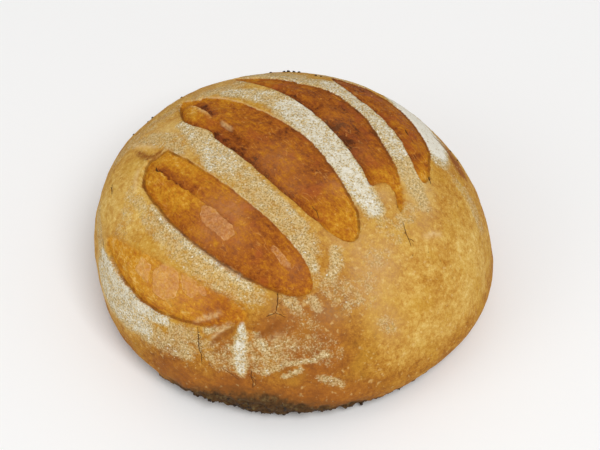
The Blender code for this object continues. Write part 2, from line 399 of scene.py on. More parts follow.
CRACK_REACH = 2.4
CRACK_FRAY, CRACK_SPACING = 0.7, 2.2

BLISTERS = {
    "first_big": [(-79, -82), (-71, -80), (-65, -87), (-66, -95), (-71, -99), (-79, -98), (-84, -92)],
    "first_middle": [(-60, -90), (-54, -96), (-54, -101), (-58, -102), (-61, -98)],
    "first_small": [(-53, -100), (-50, -100), (-49, -103)],
    "first_upper": [(-93, -75), (-88, -72), (-84, -78), (-88, -84)],
    "second_long": [(-42, -50), (-38, -52), (-33, -59), (-27, -66), (-26, -71), (-30, -73), (-34, -68),
                    (-40, -62), (-43, -56)],
    "second_streak": [(-2, -82), (0, -84), (6, -92), (4, -92)],
}
BLISTER_ROUND = 1.8
Crease = namedtuple("Crease", "points width depth")
CREASES = {
    "second_end_fold": Crease([(-90, 16), (-85, 9), (-80, 3), (-75, 2), (-70, 5)], 3.2, 1.2),
    "scar_left": Crease([(-58, -135), (-53, -133), (-46, -130), (-39, -128), (-33, -127)], 2.5, 1.2),
    "scar_right": Crease([(-22, -134), (-15, -132), (-10, -129), (-5, -126), (0, -123)], 2.5, 1.2),
    "scar_right_low": Crease([(-17, -138), (-11, -135), (-5, -132), (1, -129)], 1.3, 0.8),
    "right_edge": Crease([(103, 44), (109, 37), (113, 31.5), (117, 24), (120, 18)], 2.2, 0.2),
    "scar_low": Crease([(-29, -151), (-33, -155), (-36, -161), (-37, -167)], 1.5, 0.8),
}
Ridge = namedtuple("Ridge", "points width")
RIDGES = {
    "second_end_fold": Ridge([(-99, 32), (-91, 23), (-85, 17), (-77, 12), (-69, 7)], 1.5),
    "second_left_lip": Ridge([(-85, -3), (-86.5, -13), (-87, -23), (-87, -29)], 1.5),
    "below_first": Ridge([(-66, -118), (-57, -118), (-47, -117), (-38, -116)], 1.5),
    "scar_left": Ridge([(-57, -131), (-50, -129), (-42, -126), (-36, -124)], 1.5),
    "scar_right": Ridge([(-14, -137), (-8, -134), (-2, -131)], 1.5),
    "right": Ridge([(88, -62), (96, -56), (106, -52)], 1.5),
    "third_flap": Ridge([(-55, 53), (-50, 47), (-44.5, 38.5), (-39.5, 32), (-38, 27)], 1.0),
    "third_shelf": Ridge([(-34, 25), (-28, 19), (-24, 15)], 0.9),
}
RIDGE_HEIGHT = 0.55

PITS = [
    (93, -85), (115, -72), (116, -77), (94, -69), (104, -71), (96, -151), (118, -22), (-110, 6),
    (-119, -1), (2, -37), (83, -75), (78, -62), (6, -43), (24, -46), (-62, -98), (125, -48),
    (-30, -92), (8, -70), (-60, 128), (-52, 141), (64, 118), (90, 122), (118, 96), (-128, 52),
    (-140, 66), (10, 152), (160, -20),
]
PIT_RADIUS = 0.8
print(len(TEARS), "tears,", len(CRACKS), "cracks,", len(BLISTERS), "blisters,", len(PITS), "pits")

# %% [markdown]
# ## How dark the crust is
# The bake isn't even: the side that faced the fire is browner, and the foot that stood on the hottest part
# of the stone is burnt. The burnt band reaches highest at the front. Patches are soft round spots on the
# map of the crust, each with its radius in millimetres and its strength. They brown or lighten the skin,
# toast or redden the floors, make a slash's edge vague in mm, and lay a dull haze or soft dust on the skin.

# %% Slow changes of colour
Patch = namedtuple("Patch", "x y radius amount")
BROWN_PATCHES = [
    Patch(-97, -140, 26, 0.32),
    Patch(-52, -168, 26, 0.32),
    Patch(5, -128, 26, 0.20),
    Patch(15, -134, 24, 0.10),
    Patch(-46, -131, 7, 0.30),
    Patch(-12, -131, 8, 0.30),
    Patch(-36, -142, 22, 0.16),
    Patch(18, -143, 18, 0.20),
    Patch(35, -108, 24, 0.12),
    Patch(45, -150, 30, 0.14),
    Patch(48, -98, 12, 0.06),
    Patch(5, -180, 40, 0.24),
    Patch(108, 40, 5, 0.50),
    Patch(114, 33, 5, 0.70),
    Patch(119, 25, 5, 0.70),
    Patch(124, 17, 6, 0.45),
    Patch(64, 146, 30, 0.12),
    Patch(-58, 140, 34, 0.12),
    Patch(-150, 62, 30, 0.10),
    Patch(150, 84, 26, 0.14),
    Patch(135, -50, 30, -0.10),
    Patch(105, -95, 42, -0.06),
    Patch(118, -128, 36, -0.03),
    Patch(168, -62, 36, -0.08),
    Patch(-138, -62, 18, -0.14),
    Patch(-118, -15, 26, -0.14),
    Patch(-90, -30, 26, -0.12),
]
VAGUE_EDGES = [
    Patch(-98, -52, 20, 3.0),
    Patch(-75, -66, 16, 3.5),
    Patch(-50, -88, 14, 3.5),
    Patch(-30, -105, 15, 4.5),
    Patch(-38, -118, 12, 3.0),
    Patch(80, -37, 8, 1.5),
    Patch(62, -31, 9, 3.0),
    Patch(-80, -1, 7, 1.4),
]
TOAST_PATCHES = [
    Patch(25, -26, 10, 0.14),
    Patch(38, -42, 9, -0.12),
    Patch(8, -8, 12, -0.08),
    Patch(48, 8, 12, 0.10),
    Patch(10, -100, 10, 0.14),
    Patch(-58, -40, 9, -0.12),
    Patch(-52, 40, 7, -0.22),
    Patch(-42, 48, 7, 0.24),
    Patch(20, -90, 10, -0.10),
    Patch(-44, -111, 14, 0.22),
    Patch(66, -22, 9, -0.14),
    Patch(10, 4, 9, 0.10),
    Patch(-6, -58, 9, 0.12),
    Patch(-18, -84, 8, 0.12),
    Patch(-20, -66, 6, -0.12),
    Patch(86, 0, 5.5, 0.18),
]
HAZE_PATCHES = [
    Patch(55, -100, 16, 0.50),
    Patch(62, -80, 14, 0.45),
    Patch(40, -72, 12, 0.40),
    Patch(70, -122, 12, 0.35),
    Patch(86, -50, 14, 0.35),
    Patch(30, -118, 12, 0.25),
    Patch(0, -114, 12, 0.18),
    Patch(-98, -30, 16, 0.12),
    Patch(-84, 26, 14, 0.25),
    Patch(65, -39, 6, 0.40),
    Patch(-40, 66, 18, 0.35),
]
PINK_PATCHES = [
    Patch(-74, -92, 16, 0.55),
    Patch(-53, -104, 12, 0.45),
    Patch(-32, -50, 12, 0.55),
    Patch(-24, -72, 12, 0.40),
    Patch(-42, -68, 9, 0.40),
    Patch(3, -14, 14, 0.45),
    Patch(12, -34, 10, 0.35),
    Patch(38, 20, 12, 0.25),
    Patch(52, -6, 9, 0.25),
    Patch(37, -36, 9, 0.50),
    Patch(9, -95, 8, 0.35),
    Patch(-21, -52, 10, 0.45),
]
POWDER_PATCHES = [
    Patch(82, -13, 8, 0.75),
    Patch(85, -24, 9, 0.75),
    Patch(89, -36, 8, 0.45),
    Patch(54, -44, 9, 0.45),
    Patch(-144, -62, 14, 0.85),
    Patch(-133, -72, 12, 0.75),
    Patch(-124, -90, 11, 0.55),
    Patch(-112, -104, 10, 0.35),
    Patch(-133, -40, 10, 0.35),
    Patch(-66, 24, 10, 0.40),
    Patch(-54, 0, 9, 0.35),
    Patch(-14, 82, 12, 0.40),
    Patch(-78, 122, 15, 0.35),
    Patch(72, 112, 13, 0.35),
]
# UNDERSIDE browns the skin towards the foot all round: partly the crust's own browning, partly painted
# shade where the crust turns under.
UNDERSIDE, UNDERSIDE_HEIGHT, UNDERSIDE_FADE = 0.20, 48.0, 16.0
CHAR_HEIGHTS = [
    (-180, 7), (-150, 9), (-135, 15), (-127, 23), (-116, 32), (-106, 36), (-98, 38), (-92, 33),
    (-84, 27), (-74, 21), (-61, 14), (-45, 9), (0, 6), (90, 8), (180, 7),
]


def patch_field(cap, patches):
    total = np.zeros(len(cap))
    for patch in patches:
        away = np.hypot(cap[:, 0] - patch.x, cap[:, 1] - patch.y) / patch.radius
        total += patch.amount * np.exp(-(away**2))
    return total


def char_field(cap):
    """How many mm a point lies below the top of the burnt band, less than 0 above it."""
    turn = np.degrees(np.arctan2(cap[:, 1], cap[:, 0]))
    return np.interp(turn, *zip(*CHAR_HEIGHTS)) - (FOOT - np.hypot(cap[:, 0], cap[:, 1]))


print("the burnt band is up to", max(height for _, height in CHAR_HEIGHTS), "mm high")

# %% [markdown]
# ## How each slash baked
# A slash's colour runs from amber at its ends to a red-brown middle, and the nearer the fire the darker.
# Behind its front edge lies a trough darkened with painted shade, the skin behind its back edge curls into
# a pale lip, and both edges have a thin line of painted shade. Each is given as strengths along the
# slash, from its back end (-1) to its front end (1).

# %% Strengths along each slash
Baking = namedtuple("Baking", "toast trough lip rim_front rim_back")
BAKING = {
    "first": Baking(
        [(-1, 0.22), (-0.6, 0.22), (-0.2, 0.24), (0.3, 0.28), (0.7, 0.38), (1, 0.40)],
        [(-1, 0.3), (-0.4, 0.5), (0.4, 0.4), (1, 0.0)],
        [(-1, 0.0), (1, 0.0)],
        [(-1, 0.2), (-0.5, 0.8), (0.3, 0.8), (0.7, 0.2), (1, 0.0)],
        [(-1, 0.0), (1, 0.0)],
    ),
    "second": Baking(
        [(-1, 0.26), (-0.6, 0.28), (-0.2, 0.43), (0.2, 0.56), (0.6, 0.63), (0.9, 0.50), (1, 0.38)],
        [(-1, 0.2), (-0.5, 0.4), (0, 0.35), (0.6, 0.2), (1, 0.1)],
        [(-1, 0.1), (-0.6, 0.2), (-0.3, 0.35), (0.4, 0.25), (0.8, 0.1), (1, 0.0)],
        [(-1, 0.3), (-0.7, 0.9), (0.5, 0.8), (1, 0.3)],
        [(-1, 0.1), (-0.85, 0.7), (-0.6, 0.8), (-0.3, 0.5), (0.5, 0.2), (1, 0.2)],
    ),
    "third": Baking(
        [(-1, 0.30), (-0.75, 0.39), (-0.4, 0.58), (0, 0.68), (0.5, 0.64), (0.8, 0.41), (1, 0.24)],
        [(-1, 0.2), (-0.8, 0.3), (-0.68, 1.1), (-0.45, 1.3), (-0.2, 1.2), (0, 0.9), (0.4, 0.5),
         (0.8, 0.2), (1, 0.1)],
        [(-0.95, 0.2), (-0.7, 0.6), (-0.1, 0.5), (0.3, 0.2), (0.7, 0.1), (1, 0.0)],
        [(-1, 0.6), (-0.8, 0.9), (-0.6, 0.6), (-0.2, 0.8), (0.3, 1.0), (0.8, 0.6), (1, 0.2)],
        [(-1, 0.1), (-0.3, 0.2), (0.2, 0.7), (0.9, 1.0), (1, 0.6)],
    ),
    "fourth": Baking(
        [(-1, 0.42), (-0.8, 0.54), (-0.4, 0.68), (0.25, 0.72), (0.5, 0.62), (0.7, 0.47), (0.8, 0.37),
         (1, 0.26)],
        [(-1, 0.3), (-0.6, 0.7), (0, 0.7), (0.5, 0.5), (0.75, 0.2), (1, 0.1)],
        [(-1, 0.2), (-0.4, 0.1), (1, 0.0)],
        [(-1, 0.4), (-0.7, 0.9), (0.6, 0.9), (0.8, 0.5), (1, 0.3)],
        [(-1, 0.3), (-0.4, 0.7), (0.3, 1.0), (0.6, 0.7), (0.75, 0.2), (1, 0.1)],
    ),
    "fifth": Baking(
        [(-1, 0.78), (-0.4, 0.66), (0.2, 0.58), (0.6, 0.54), (0.85, 0.34), (1, 0.24)],
        [(-1, 0.3), (-0.3, 0.5), (0.4, 0.4), (1, 0.1)],
        [(-1, 0.1), (0, 0.1), (1, 0.0)],
        [(-1, 0.3), (0, 0.8), (0.7, 0.6), (1, 0.2)],
        [(-1, 0.3), (0, 0.7), (0.7, 0.9), (0.9, 0.4), (1, 0.2)],
    ),
}
SECOND_TOAST = [strength for _, strength in BAKING["second"].toast]
print("the second slash bakes from", SECOND_TOAST[0], "to", max(SECOND_TOAST))

# %% [markdown]
# ## A mesh that is fine where the bread is
# The loaf starts as a ball of even triangles. Those above the foot are halved once, those near a slash's
# edge, a mark or the craggy foot once more, and those at a tear or a crack a third time, so the fine
# triangles go where the eye does. Then lines are scored into the mesh along both sides of each slash's
# wall. Without them a sharp edge would run across triangles and look like a saw. Scoring squeezes or
# turns over a few triangles, and those are merged away.

# %% Build the ball and refine it
BALL_SUBDIVISIONS = 6
EDGE_REACH = 3.6
MARK_REACH = 2.2
CRACK_SHARE = 0.6
BAND_ABOVE, BAND_BELOW = 2.0, 30.0
BASE_RIM = 4.0
SNAP = 0.45
WALL = 1.4
MEND_ROUNDS = 6
FOLDED = 0.3


def cap_of(ball_points):
    """Cap coordinates of points of the unit ball, whose top is the crown and whose bottom the base."""
    arc = np.arccos(ball_points[:, 2].clip(-1, 1)) / math.pi * LENGTH[-1]
    turn = np.arctan2(ball_points[:, 1], ball_points[:, 0])
    return np.stack([arc * np.cos(turn), arc * np.sin(turn)], axis=1)


def ball_of(cap):
    """Points of the unit ball at cap coordinates."""
    arc = np.hypot(cap[:, 0], cap[:, 1])
    fall = arc / LENGTH[-1] * math.pi
    level = np.sin(fall) / arc.clip(1e-9)
    return np.stack([cap[:, 0] * level, cap[:, 1] * level, np.cos(fall)], axis=1)


def vertex_array(bm):
    return np.array([v.co for v in bm.verts], float)


def halve_edges(bm, wanted):
    """Halves each edge of the ball for which wanted(cap coordinates of its middle) is true."""
    middles = np.array([(e.verts[0].co + e.verts[1].co).normalized() for e in bm.edges], float)
    chosen = [edge for edge, hit in zip(bm.edges, wanted(cap_of(middles))) if hit]
    bmesh.ops.subdivide_edges(bm, edges=chosen, cuts=1, use_grid_fill=True)
    bmesh.ops.triangulate(bm, faces=bm.faces)
    for vert in bm.verts:
        vert.co.normalize()


def above_base(cap):
    return np.hypot(cap[:, 0], cap[:, 1]) < FOOT + BASE_RIM


def near_line_marks(cap):
    near = np.zeros(len(cap), bool)
    for tear in TEARS.values():
        near |= near_line(cap, tear.points, False)[0] < MARK_REACH
    for line in CRACKS.values():
        near |= near_line(cap, line, False)[0] < MARK_REACH * CRACK_SHARE
    return near


def near_detail(cap):
    char = char_field(cap)
    near = (char > -BAND_ABOVE) & (char < BAND_BELOW) & (np.hypot(cap[:, 0], cap[:, 1]) < FOOT)
    for outline in OUTLINES.values():
        near |= near_line(cap, outline, True)[0] < EDGE_REACH
    near |= near_line_marks(cap)
    for line in BLISTERS.values():
        near |= np.abs(near_line(cap, line, True)[0]) < MARK_REACH / 2
    for pit in PITS:
        near |= np.hypot(*(cap - np.array(pit)).T) < 2 * PIT_RADIUS
    return near


def score_line(bm, outline, level):
    """Lays edges of the ball along the line that runs `level` mm outside a slash's outline."""
    cap = cap_of(vertex_array(bm))
    away, _, ways, _ = near_line(cap, outline, True)
    away = away - level
    moved = ball_of(cap - ways * away[:, None])
    bm.verts.ensure_lookup_table()
    scored = []
    for index in np.flatnonzero(np.abs(away) < SNAP):
        bm.verts[index].co = moved[index]
        scored.append(bm.verts[index])
    away[np.abs(away) < SNAP] = 0.0
    bm.verts.index_update()
    ends = np.array([(e.verts[0].index, e.verts[1].index) for e in bm.edges])
    gaps = away[ends]
    bm.edges.ensure_lookup_table()
    crossing = [bm.edges[i] for i in np.flatnonzero(gaps[:, 0] * gaps[:, 1] < 0)]
    for edge in crossing:
        start, end = edge.verts
        start_gap, end_gap = away[start.index], away[end.index]
        _, vert = bmesh.utils.edge_split(edge, start, start_gap / (start_gap - end_gap))
        vert.co.normalize()
        scored.append(vert)
    bmesh.ops.connect_verts(bm, verts=scored)
    bmesh.ops.triangulate(bm, faces=[f for f in bm.faces if len(f.verts) > 3])


def mend_folds(bm):
    """Merges away the triangles that scoring has squeezed or turned over: each loses its shortest side."""
    for _ in range(MEND_ROUNDS):
        bm.normal_update()
        folded = [face for face in bm.faces if face.normal.dot(face.calc_center_median()) < FOLDED]
        for face in folded:
            if face.is_valid:
                edge = min(face.edges, key=lambda side: side.calc_length())
                bmesh.ops.pointmerge(bm, verts=list(edge.verts), merge_co=edge.verts[0].co)
    return len(folded)


def make_ball():
    bm = bmesh.new()
    bmesh.ops.create_icosphere(bm, subdivisions=BALL_SUBDIVISIONS, radius=1.0)
    halve_edges(bm, above_base)
    halve_edges(bm, near_detail)
    halve_edges(bm, near_line_marks)
    for outline in OUTLINES.values():
        score_line(bm, outline, -WALL / 2)
        score_line(bm, outline, WALL / 2)
    print("folded triangles left:", mend_folds(bm))
    return bm


BALL = make_ball()
print("the refined ball has", len(BALL.verts), "points and", len(BALL.faces), "triangles")

# %% [markdown]
# ## Relief of the crust
# Heights are added along the normals of the plain form, in millimetres. A slash's floor drops at its
# edges, most along the front one, and bulges up in the middle. The cut skin curls up into a thin lip.
# Over all of it lie slow swells, small bumps of the skin, and sharp crags round the burnt foot.

# %% Heights of slashes, marks and skin
DROP_BACK = 0.9
BULGE_POWER = 1.7
FLOOR_DIP = 0.3
LIP_FRONT, LIP_BACK, LIP_REACH = 1.0, 0.2, 4.0
END_PLACE, END_FADE = 1.04, 0.14
SWELL, SWELL_SIZE = 1.6, 42.0
RIPPLE, RIPPLE_SIZE = 0.5, 13.0
SKIN, SKIN_SIZE = 0.22, 3.0
CRAG, CRAG_SIZE = 2.5, 6.0
CRUMB, CRUMB_SIZE = 2.0, 3.0
CRAG_RAISE, CRUMB_LEVEL = 0.15, 0.25
CRAG_START, CRAG_FADE = 8.0, 16.0
FOOT_FADE = 3.0
FLOOR_START, FLOOR_START_FADE = 0.5, 3.0
FIBRE, FIBRE_WIDTH, FIBRE_LENGTH, FIBRE_SHIFT = 0.60, 3.6, 20.0, 7.0
LUMP, LUMP_SIZE = 0.55, 7.5
TORN, TORN_SIZE = 0.22, 2.4
TEAR_FADE_IN, TEAR_FADE_OUT = 0.12, 0.25
TEAR_REACH, TEAR_REACH_FADE = 11.0, 8.0
TEAR_STEP_REACH, TEAR_GROOVE_WIDTH, TEAR_SHADE_EDGE = 5.0, 1.2, 0.9
CRACK_DEPTH, CRACK_GROOVE, CRACK_TIP = 1.6, 0.9, 0.25
CREASE_FRAY, CREASE_TAPER = 1.0, 1.5
RIDGE_FRAY, RIDGE_TAPER = 1.2, 3.5
BLISTER_RISE, BLISTER_EDGE = 0.45, 1.2
PIT_DEPTH = 0.6


def smooth(value):
    """A soft step from 0 to 1."""
    value = np.clip(value, 0, 1)
    return value * value * (3 - 2 * value)


def noise_at(points, size, offset=0.0):
    """Smooth random values, about -1 to 1, whose bumps are `size` mm wide."""
    shift = Vector((offset, -offset, 2 * offset))
    return np.array([noise.noise(Vector(point) / size + shift) for point in points])


def tear_relief(cap):
    """Height of the tears in the slashes' floors, and the painted shade on each one's lower side."""
    height = np.zeros(len(cap))
    shade = np.zeros(len(cap))
    for tear in TEARS.values():
        distance, side, _, share = near_line(cap, frayed(tear.points, TEAR_FRAY), False)
        fade = smooth(share / TEAR_FADE_IN) * smooth((1 - share) / TEAR_FADE_OUT)
        fade = fade * smooth((TEAR_REACH - distance) / TEAR_REACH_FADE)
        step = tear.step * (smooth(side / TEAR_STEP_WIDTH + 0.5) - 0.5)
        groove = tear.groove * np.exp(-((distance / TEAR_GROOVE_WIDTH) ** 2))
        height += fade * (step * np.exp(-distance / TEAR_STEP_REACH) - groove)
        lower = smooth(0.5 - math.copysign(1.0, tear.step) * side / TEAR_SHADE_EDGE)
        own_shade = tear.shade * fade * lower * np.exp(-((distance / tear.shade_width) ** 2))
        shade = np.maximum(shade, own_shade)
    return height, shade


def slash_relief(cap):
    """Height that the slashes add, with the fields that their finish needs."""
    height = np.zeros(len(cap))
    nearest = np.full(len(cap), FAR)
    fields = {name: np.zeros(len(cap)) for name in ("toast", "trough", "lip", "rim")}
    fibre_place = np.zeros((len(cap), 3))
    for number, (name, slash) in enumerate(SLASHES.items()):
        away = near_line(cap, OUTLINES[name], True)[0]
        along, across = along_and_across(slash, cap)
        back = smooth((across / slash.half_width + 1) / 2)
        drop = slash.drop + (DROP_BACK - slash.drop) * back
        drop = drop * smooth((END_PLACE - np.abs(along)) / END_FADE)
        depth = (-away / slash.half_width).clip(0, 1)
        floor = -drop * (1 - depth) ** BULGE_POWER - FLOOR_DIP
        lip = (LIP_FRONT + (LIP_BACK - LIP_FRONT) * back) * np.exp(-away.clip(0) / LIP_REACH)
        inside = smooth(0.5 - away / WALL)
        height += inside * floor + (1 - inside) * lip
        own = away < nearest
        nearest[own] = away[own]
        baking = BAKING[name]
        at_front = across < 0
        fields["toast"][own] = np.interp(along, *zip(*baking.toast))[own]
        fields["trough"][own] = (np.interp(along, *zip(*baking.trough)) * at_front)[own]
        fields["lip"][own] = (np.interp(along, *zip(*baking.lip)) * (across > 0))[own]
        rim_front = np.interp(along, *zip(*baking.rim_front))
        rim_back = np.interp(along, *zip(*baking.rim_back))
        fields["rim"][own] = np.where(at_front, rim_front, rim_back)[own]
        strand = along * slash.half_length / FIBRE_LENGTH
        strands = [strand, across / FIBRE_WIDTH, across * 0 + FIBRE_SHIFT * number]
        fibre_place[own] = np.stack(strands, axis=1)[own]
    fields["slash_edge"] = nearest
    fields["vague"] = patch_field(cap, VAGUE_EDGES)
    fields["toast"] += patch_field(cap, TOAST_PATCHES)
    fields["pink"] = patch_field(cap, PINK_PATCHES)
    tears, fields["tear_shade"] = tear_relief(cap)
    inside = smooth((-nearest - FLOOR_START) / FLOOR_START_FADE)
    fibre = np.array([noise.noise(Vector(place)) for place in fibre_place])
    flat = np.concatenate([cap, np.zeros((len(cap), 1))], axis=1)
    rough = FIBRE * fibre + LUMP * noise_at(flat, LUMP_SIZE, 5.0) + TORN * noise_at(flat, TORN_SIZE, 9.0)
    return height + inside * (rough + tears), fields


def crack_fields(cap):
    """For every point: mm to the nearest crack, signed mm across it, and its half width, or 0 far off."""
    nearest = np.full(len(cap), FAR)
    signed = np.full(len(cap), CRACK_REACH)
    width = np.zeros(len(cap))
    for name, line in CRACKS.items():
        distance, side, _, share = near_line(cap, frayed(line, CRACK_FRAY, CRACK_SPACING), False)
        own = (distance < CRACK_REACH) & (distance < nearest)
        nearest[own] = distance[own]
        signed[own] = (np.sign(side) * distance)[own]
        taper = CRACK_TIP + (1 - CRACK_TIP) * np.sin(math.pi * share) ** 0.5
        fade = smooth(CRACK_REACH - distance) * (share > 0.0) * (share < 1.0)
        width[own] = (CRACK_WIDTHS.get(name, CRACK_WIDTH) * taper * fade)[own]
    return nearest, signed, width


def mark_relief(cap):
    """Height of cracks, creases, ridges, blisters and pits, with the fields that their finish needs."""
    crack, signed, width = crack_fields(cap)
    pit = np.full(len(cap), FAR)
    for spot in PITS:
        pit = np.minimum(pit, np.hypot(*(cap - np.array(spot)).T))
    height = -CRACK_DEPTH * width * np.exp(-((crack / CRACK_GROOVE) ** 2))
    height -= PIT_DEPTH * np.exp(-((pit / PIT_RADIUS) ** 2))
    crease = np.full(len(cap), FAR)
    for mark in CREASES.values():
        distance, _, _, share = near_line(cap, frayed(mark.points, CREASE_FRAY), False)
        reach = (distance + CREASE_TAPER * (2 * share - 1) ** 6) / mark.width
        crease = np.minimum(crease, reach)
        height -= mark.depth * np.exp(-(reach**2))
    ridge = np.zeros(len(cap))
    for mark in RIDGES.values():
        distance, _, _, share = near_line(cap, frayed(mark.points, RIDGE_FRAY), False)
        swell = np.exp(-((distance / mark.width) ** 2)) * smooth(RIDGE_TAPER * (0.5 - np.abs(share - 0.5)))
        ridge = np.maximum(ridge, swell)
    blister = np.full(len(cap), FAR)
    for line in BLISTERS.values():
        blister = np.minimum(blister, near_line(cap, line, True)[0] - BLISTER_ROUND)
    height += RIDGE_HEIGHT * ridge + BLISTER_RISE * smooth(0.5 - blister / BLISTER_EDGE)
    marks = {"crack": signed, "crack_width": width, "pit": pit}
    marks |= {"blister": blister, "crease": crease, "ridge": ridge}
    return height, marks


def skin_relief(form, arc, char):
    """Height of the crust's swells and bumps, and of the crags in its burnt band."""
    craggy = smooth((char + CRAG_START) / CRAG_FADE)
    height = SWELL * noise_at(form, SWELL_SIZE) + RIPPLE * noise_at(form, RIPPLE_SIZE)
    height += CRAG * craggy * (noise_at(form, CRAG_SIZE) + CRAG_RAISE)
    height += CRUMB * craggy * (np.abs(noise_at(form, CRUMB_SIZE)) - CRUMB_LEVEL)
    height += SKIN * noise_at(form, SKIN_SIZE, 3.0)
    return height * smooth((FOOT - arc) / FOOT_FADE)


print("the deepest front edge drops", max(slash.drop for slash in SLASHES.values()), "mm")

# %% [markdown]
# ## Where the flour lies
# Flour sticks to the dough's skin and stays on the bands between the slashes, while the floors that open
# in the oven are bare. A stroke of flour is drawn like a brush stroke on the map of the crust: a few
# points, each with the stroke's half width there, and how thickly it covers. The finish later breaks the
# stroke up into grains, and a slash cuts it off sharply.

# %% Strokes of flour
Stroke = namedtuple("Stroke", "points cover")
FLOUR = {
    "third_to_fourth_top": Stroke([(-30, 58, 6), (-14, 53, 8), (0, 46, 10), (11, 34, 12)], 0.84),
    "third_to_fourth": Stroke([(10, 35, 12), (22, 19, 13), (32, 1, 13), (42, -18, 12)], 1.08),
    "third_to_fourth_low": Stroke([(40, -15, 11), (48, -32, 10), (53, -42, 9), (58, -50, 8)], 1.12),
    "fourth_to_fifth_top": Stroke([(0, 79, 6), (17, 72, 8), (36, 67, 9)], 0.82),
    "fourth_to_fifth": Stroke([(34, 67, 9), (53, 52, 9), (63, 33, 9), (69, 15, 9), (76, -2, 8)], 0.98),
    "fourth_to_fifth_low": Stroke([(76, -4, 8), (81, -18, 8), (86, -30, 7), (90, -38, 6)], 0.66),
    "right_of_fifth": Stroke([(78, 80, 7), (86, 68, 11), (92, 54, 14), (96, 42, 14), (100, 28, 14),
                              (102, 17, 11)], 1.38),
    "right_of_fifth_end": Stroke([(101, 20, 10), (103, 8, 9)], 0.86),
    "behind_fifth": Stroke([(30, 90, 6), (50, 90, 6), (66, 85, 6)], 0.62),
    "second_to_third_top": Stroke([(-58, 26, 4), (-51, 17, 6), (-45, 8, 9), (-38, 0, 12),
                                   (-32, -9, 13), (-26, -19, 12)], 0.84),
    "second_to_third_tongue": Stroke([(-40, -1, 5), (-39, -10, 5), (-37, -20, 4)], 0.90),
    "second_to_third": Stroke([(-24, -21, 13), (-17, -33, 13), (-9, -45, 12), (0, -57, 11),
                               (11, -69, 10), (20, -82, 8)], 0.62),
    "second_to_third_bright": Stroke([(-16, -26, 4), (-4, -41, 4), (7, -55, 4), (17, -68, 3)], 0.76),
    "second_to_third_end": Stroke([(11, -79, 5), (17, -87, 5), (21, -94, 4)], 0.78),
    "first_to_second": Stroke([(-86, -31, 5), (-76, -53, 7), (-63, -69, 9), (-53, -82, 11),
                               (-43, -91, 11), (-30, -103, 10), (-15, -110, 8)], 0.56),
    "first_to_second_edge": Stroke([(-76, -40, 2), (-66, -57, 3), (-52, -74, 4), (-40, -85, 4),
                                    (-26, -98, 5), (-20, -104, 4)], 0.82),
    "below_first": Stroke([(-129, -44, 4), (-123, -61, 7), (-116, -78, 8), (-106, -92, 7),
                           (-95, -104, 6), (-84, -112, 4)], 1.08),
    "below_first_low": Stroke([(-138, -50, 10), (-136, -70, 13), (-128, -86, 13), (-118, -99, 12),
                               (-108, -109, 10)], 0.98),
    "below_first_speckled": Stroke([(-114, -108, 11), (-94, -124, 10), (-78, -133, 9)], 0.64),
    "below_first_front": Stroke([(-82, -118, 7), (-68, -126, 7)], 0.62),
    "front_patch": Stroke([(-29, -125, 2.8), (-31, -133, 4.4), (-35, -140, 5.6), (-38, -148, 5.4),
                           (-40, -155, 3.6)], 1.10),
    "front_lobe": Stroke([(-20, -133, 3.4), (-17, -139, 4.2), (-15, -145, 3.2)], 0.78),
    "front_lavender": Stroke([(-55, -125, 3.4), (-46, -124, 3.0), (-36, -124, 2.6)], 0.70),
    "front_halo": Stroke([(-62, -134, 9), (-52, -143, 12), (-36, -145, 15), (-17, -145, 14),
                          (-2, -141, 10)], 0.54),
    "front_row": Stroke([(-23, -158, 2.2), (-14, -155, 2.4), (-5, -152, 2.4), (4, -151, 2.2),
                         (14, -150, 2.2), (25, -145, 2.6)], 0.72),
    "front_row_low": Stroke([(-8, -161, 2.0), (-1, -159, 2.4), (6, -156, 2.2)], 0.84),
    "front_field": Stroke([(0, -136, 9), (14, -142, 9), (26, -148, 8)], 0.44),
    "low_right": Stroke([(19, -162, 3.4), (28, -164, 4.2), (38, -167, 3.4)], 0.62),
    "specks_a": Stroke([(35, -82, 5), (35, -91, 5), (30, -100, 4)], 0.64),
    "specks_b": Stroke([(4, -112, 6), (8, -118, 5)], 0.62),
    "specks_c": Stroke([(18, -113, 4.5), (22, -117, 4.0)], 0.64),
    "specks_d": Stroke([(34, -103, 8), (46, -109, 7)], 0.50),
    "centre_specks": Stroke([(24, -101, 7), (33, -107, 8), (39, -114, 7)], 0.48),
    "front_middle_specks": Stroke([(11, -126, 8), (23, -135, 9), (32, -144, 8)], 0.40),
    "right_haze_a": Stroke([(53, -99, 9), (54, -108, 8)], 0.42),
    "right_haze_b": Stroke([(57, -84, 8), (64, -81, 7)], 0.42),
    "right_haze_c": Stroke([(67, -121, 7), (71, -123, 7)], 0.46),
    "right_haze_d": Stroke([(62, -58, 8), (70, -66, 8), (84, -42, 6)], 0.44),
    "top": Stroke([(-16, 90, 10), (0, 86, 12), (17, 81, 7)], 0.62),
    "upper_left": Stroke([(-108, 25, 9), (-95, 34, 9), (-76, 43, 9), (-54, 57, 8), (-31, 67, 8)], 0.50),
    "near_second_top": Stroke([(-90, 24, 5), (-78, 22, 8), (-66, 14, 9), (-56, 2, 8)], 0.60),
    "third_end_skin": Stroke([(-44, 62, 7), (-27, 67, 8), (-16, 73, 6)], 0.62),
    "right_rim": Stroke([(114, 0, 5), (130, -5, 9), (142, -17, 10)], 0.50),
    "left_rim": Stroke([(-132, -5, 7), (-131, -30, 7), (-131, -48, 6)], 0.56),
    "left_specks": Stroke([(-90, -22, 7), (-98, -40, 8), (-108, -52, 7)], 0.44),
    "back_left_haze": Stroke([(-92, 112, 12), (-64, 126, 13), (-34, 132, 11)], 0.50),
    "back_right_haze": Stroke([(56, 122, 10), (84, 110, 12), (104, 92, 9)], 0.50),
    "back_streak": Stroke([(2, 122, 4), (8, 134, 5), (10, 148, 4)], 0.66),
    "back_low": Stroke([(-134, 78, 9), (-112, 108, 10)], 0.44),
}
STROKE_EDGE = 1.45


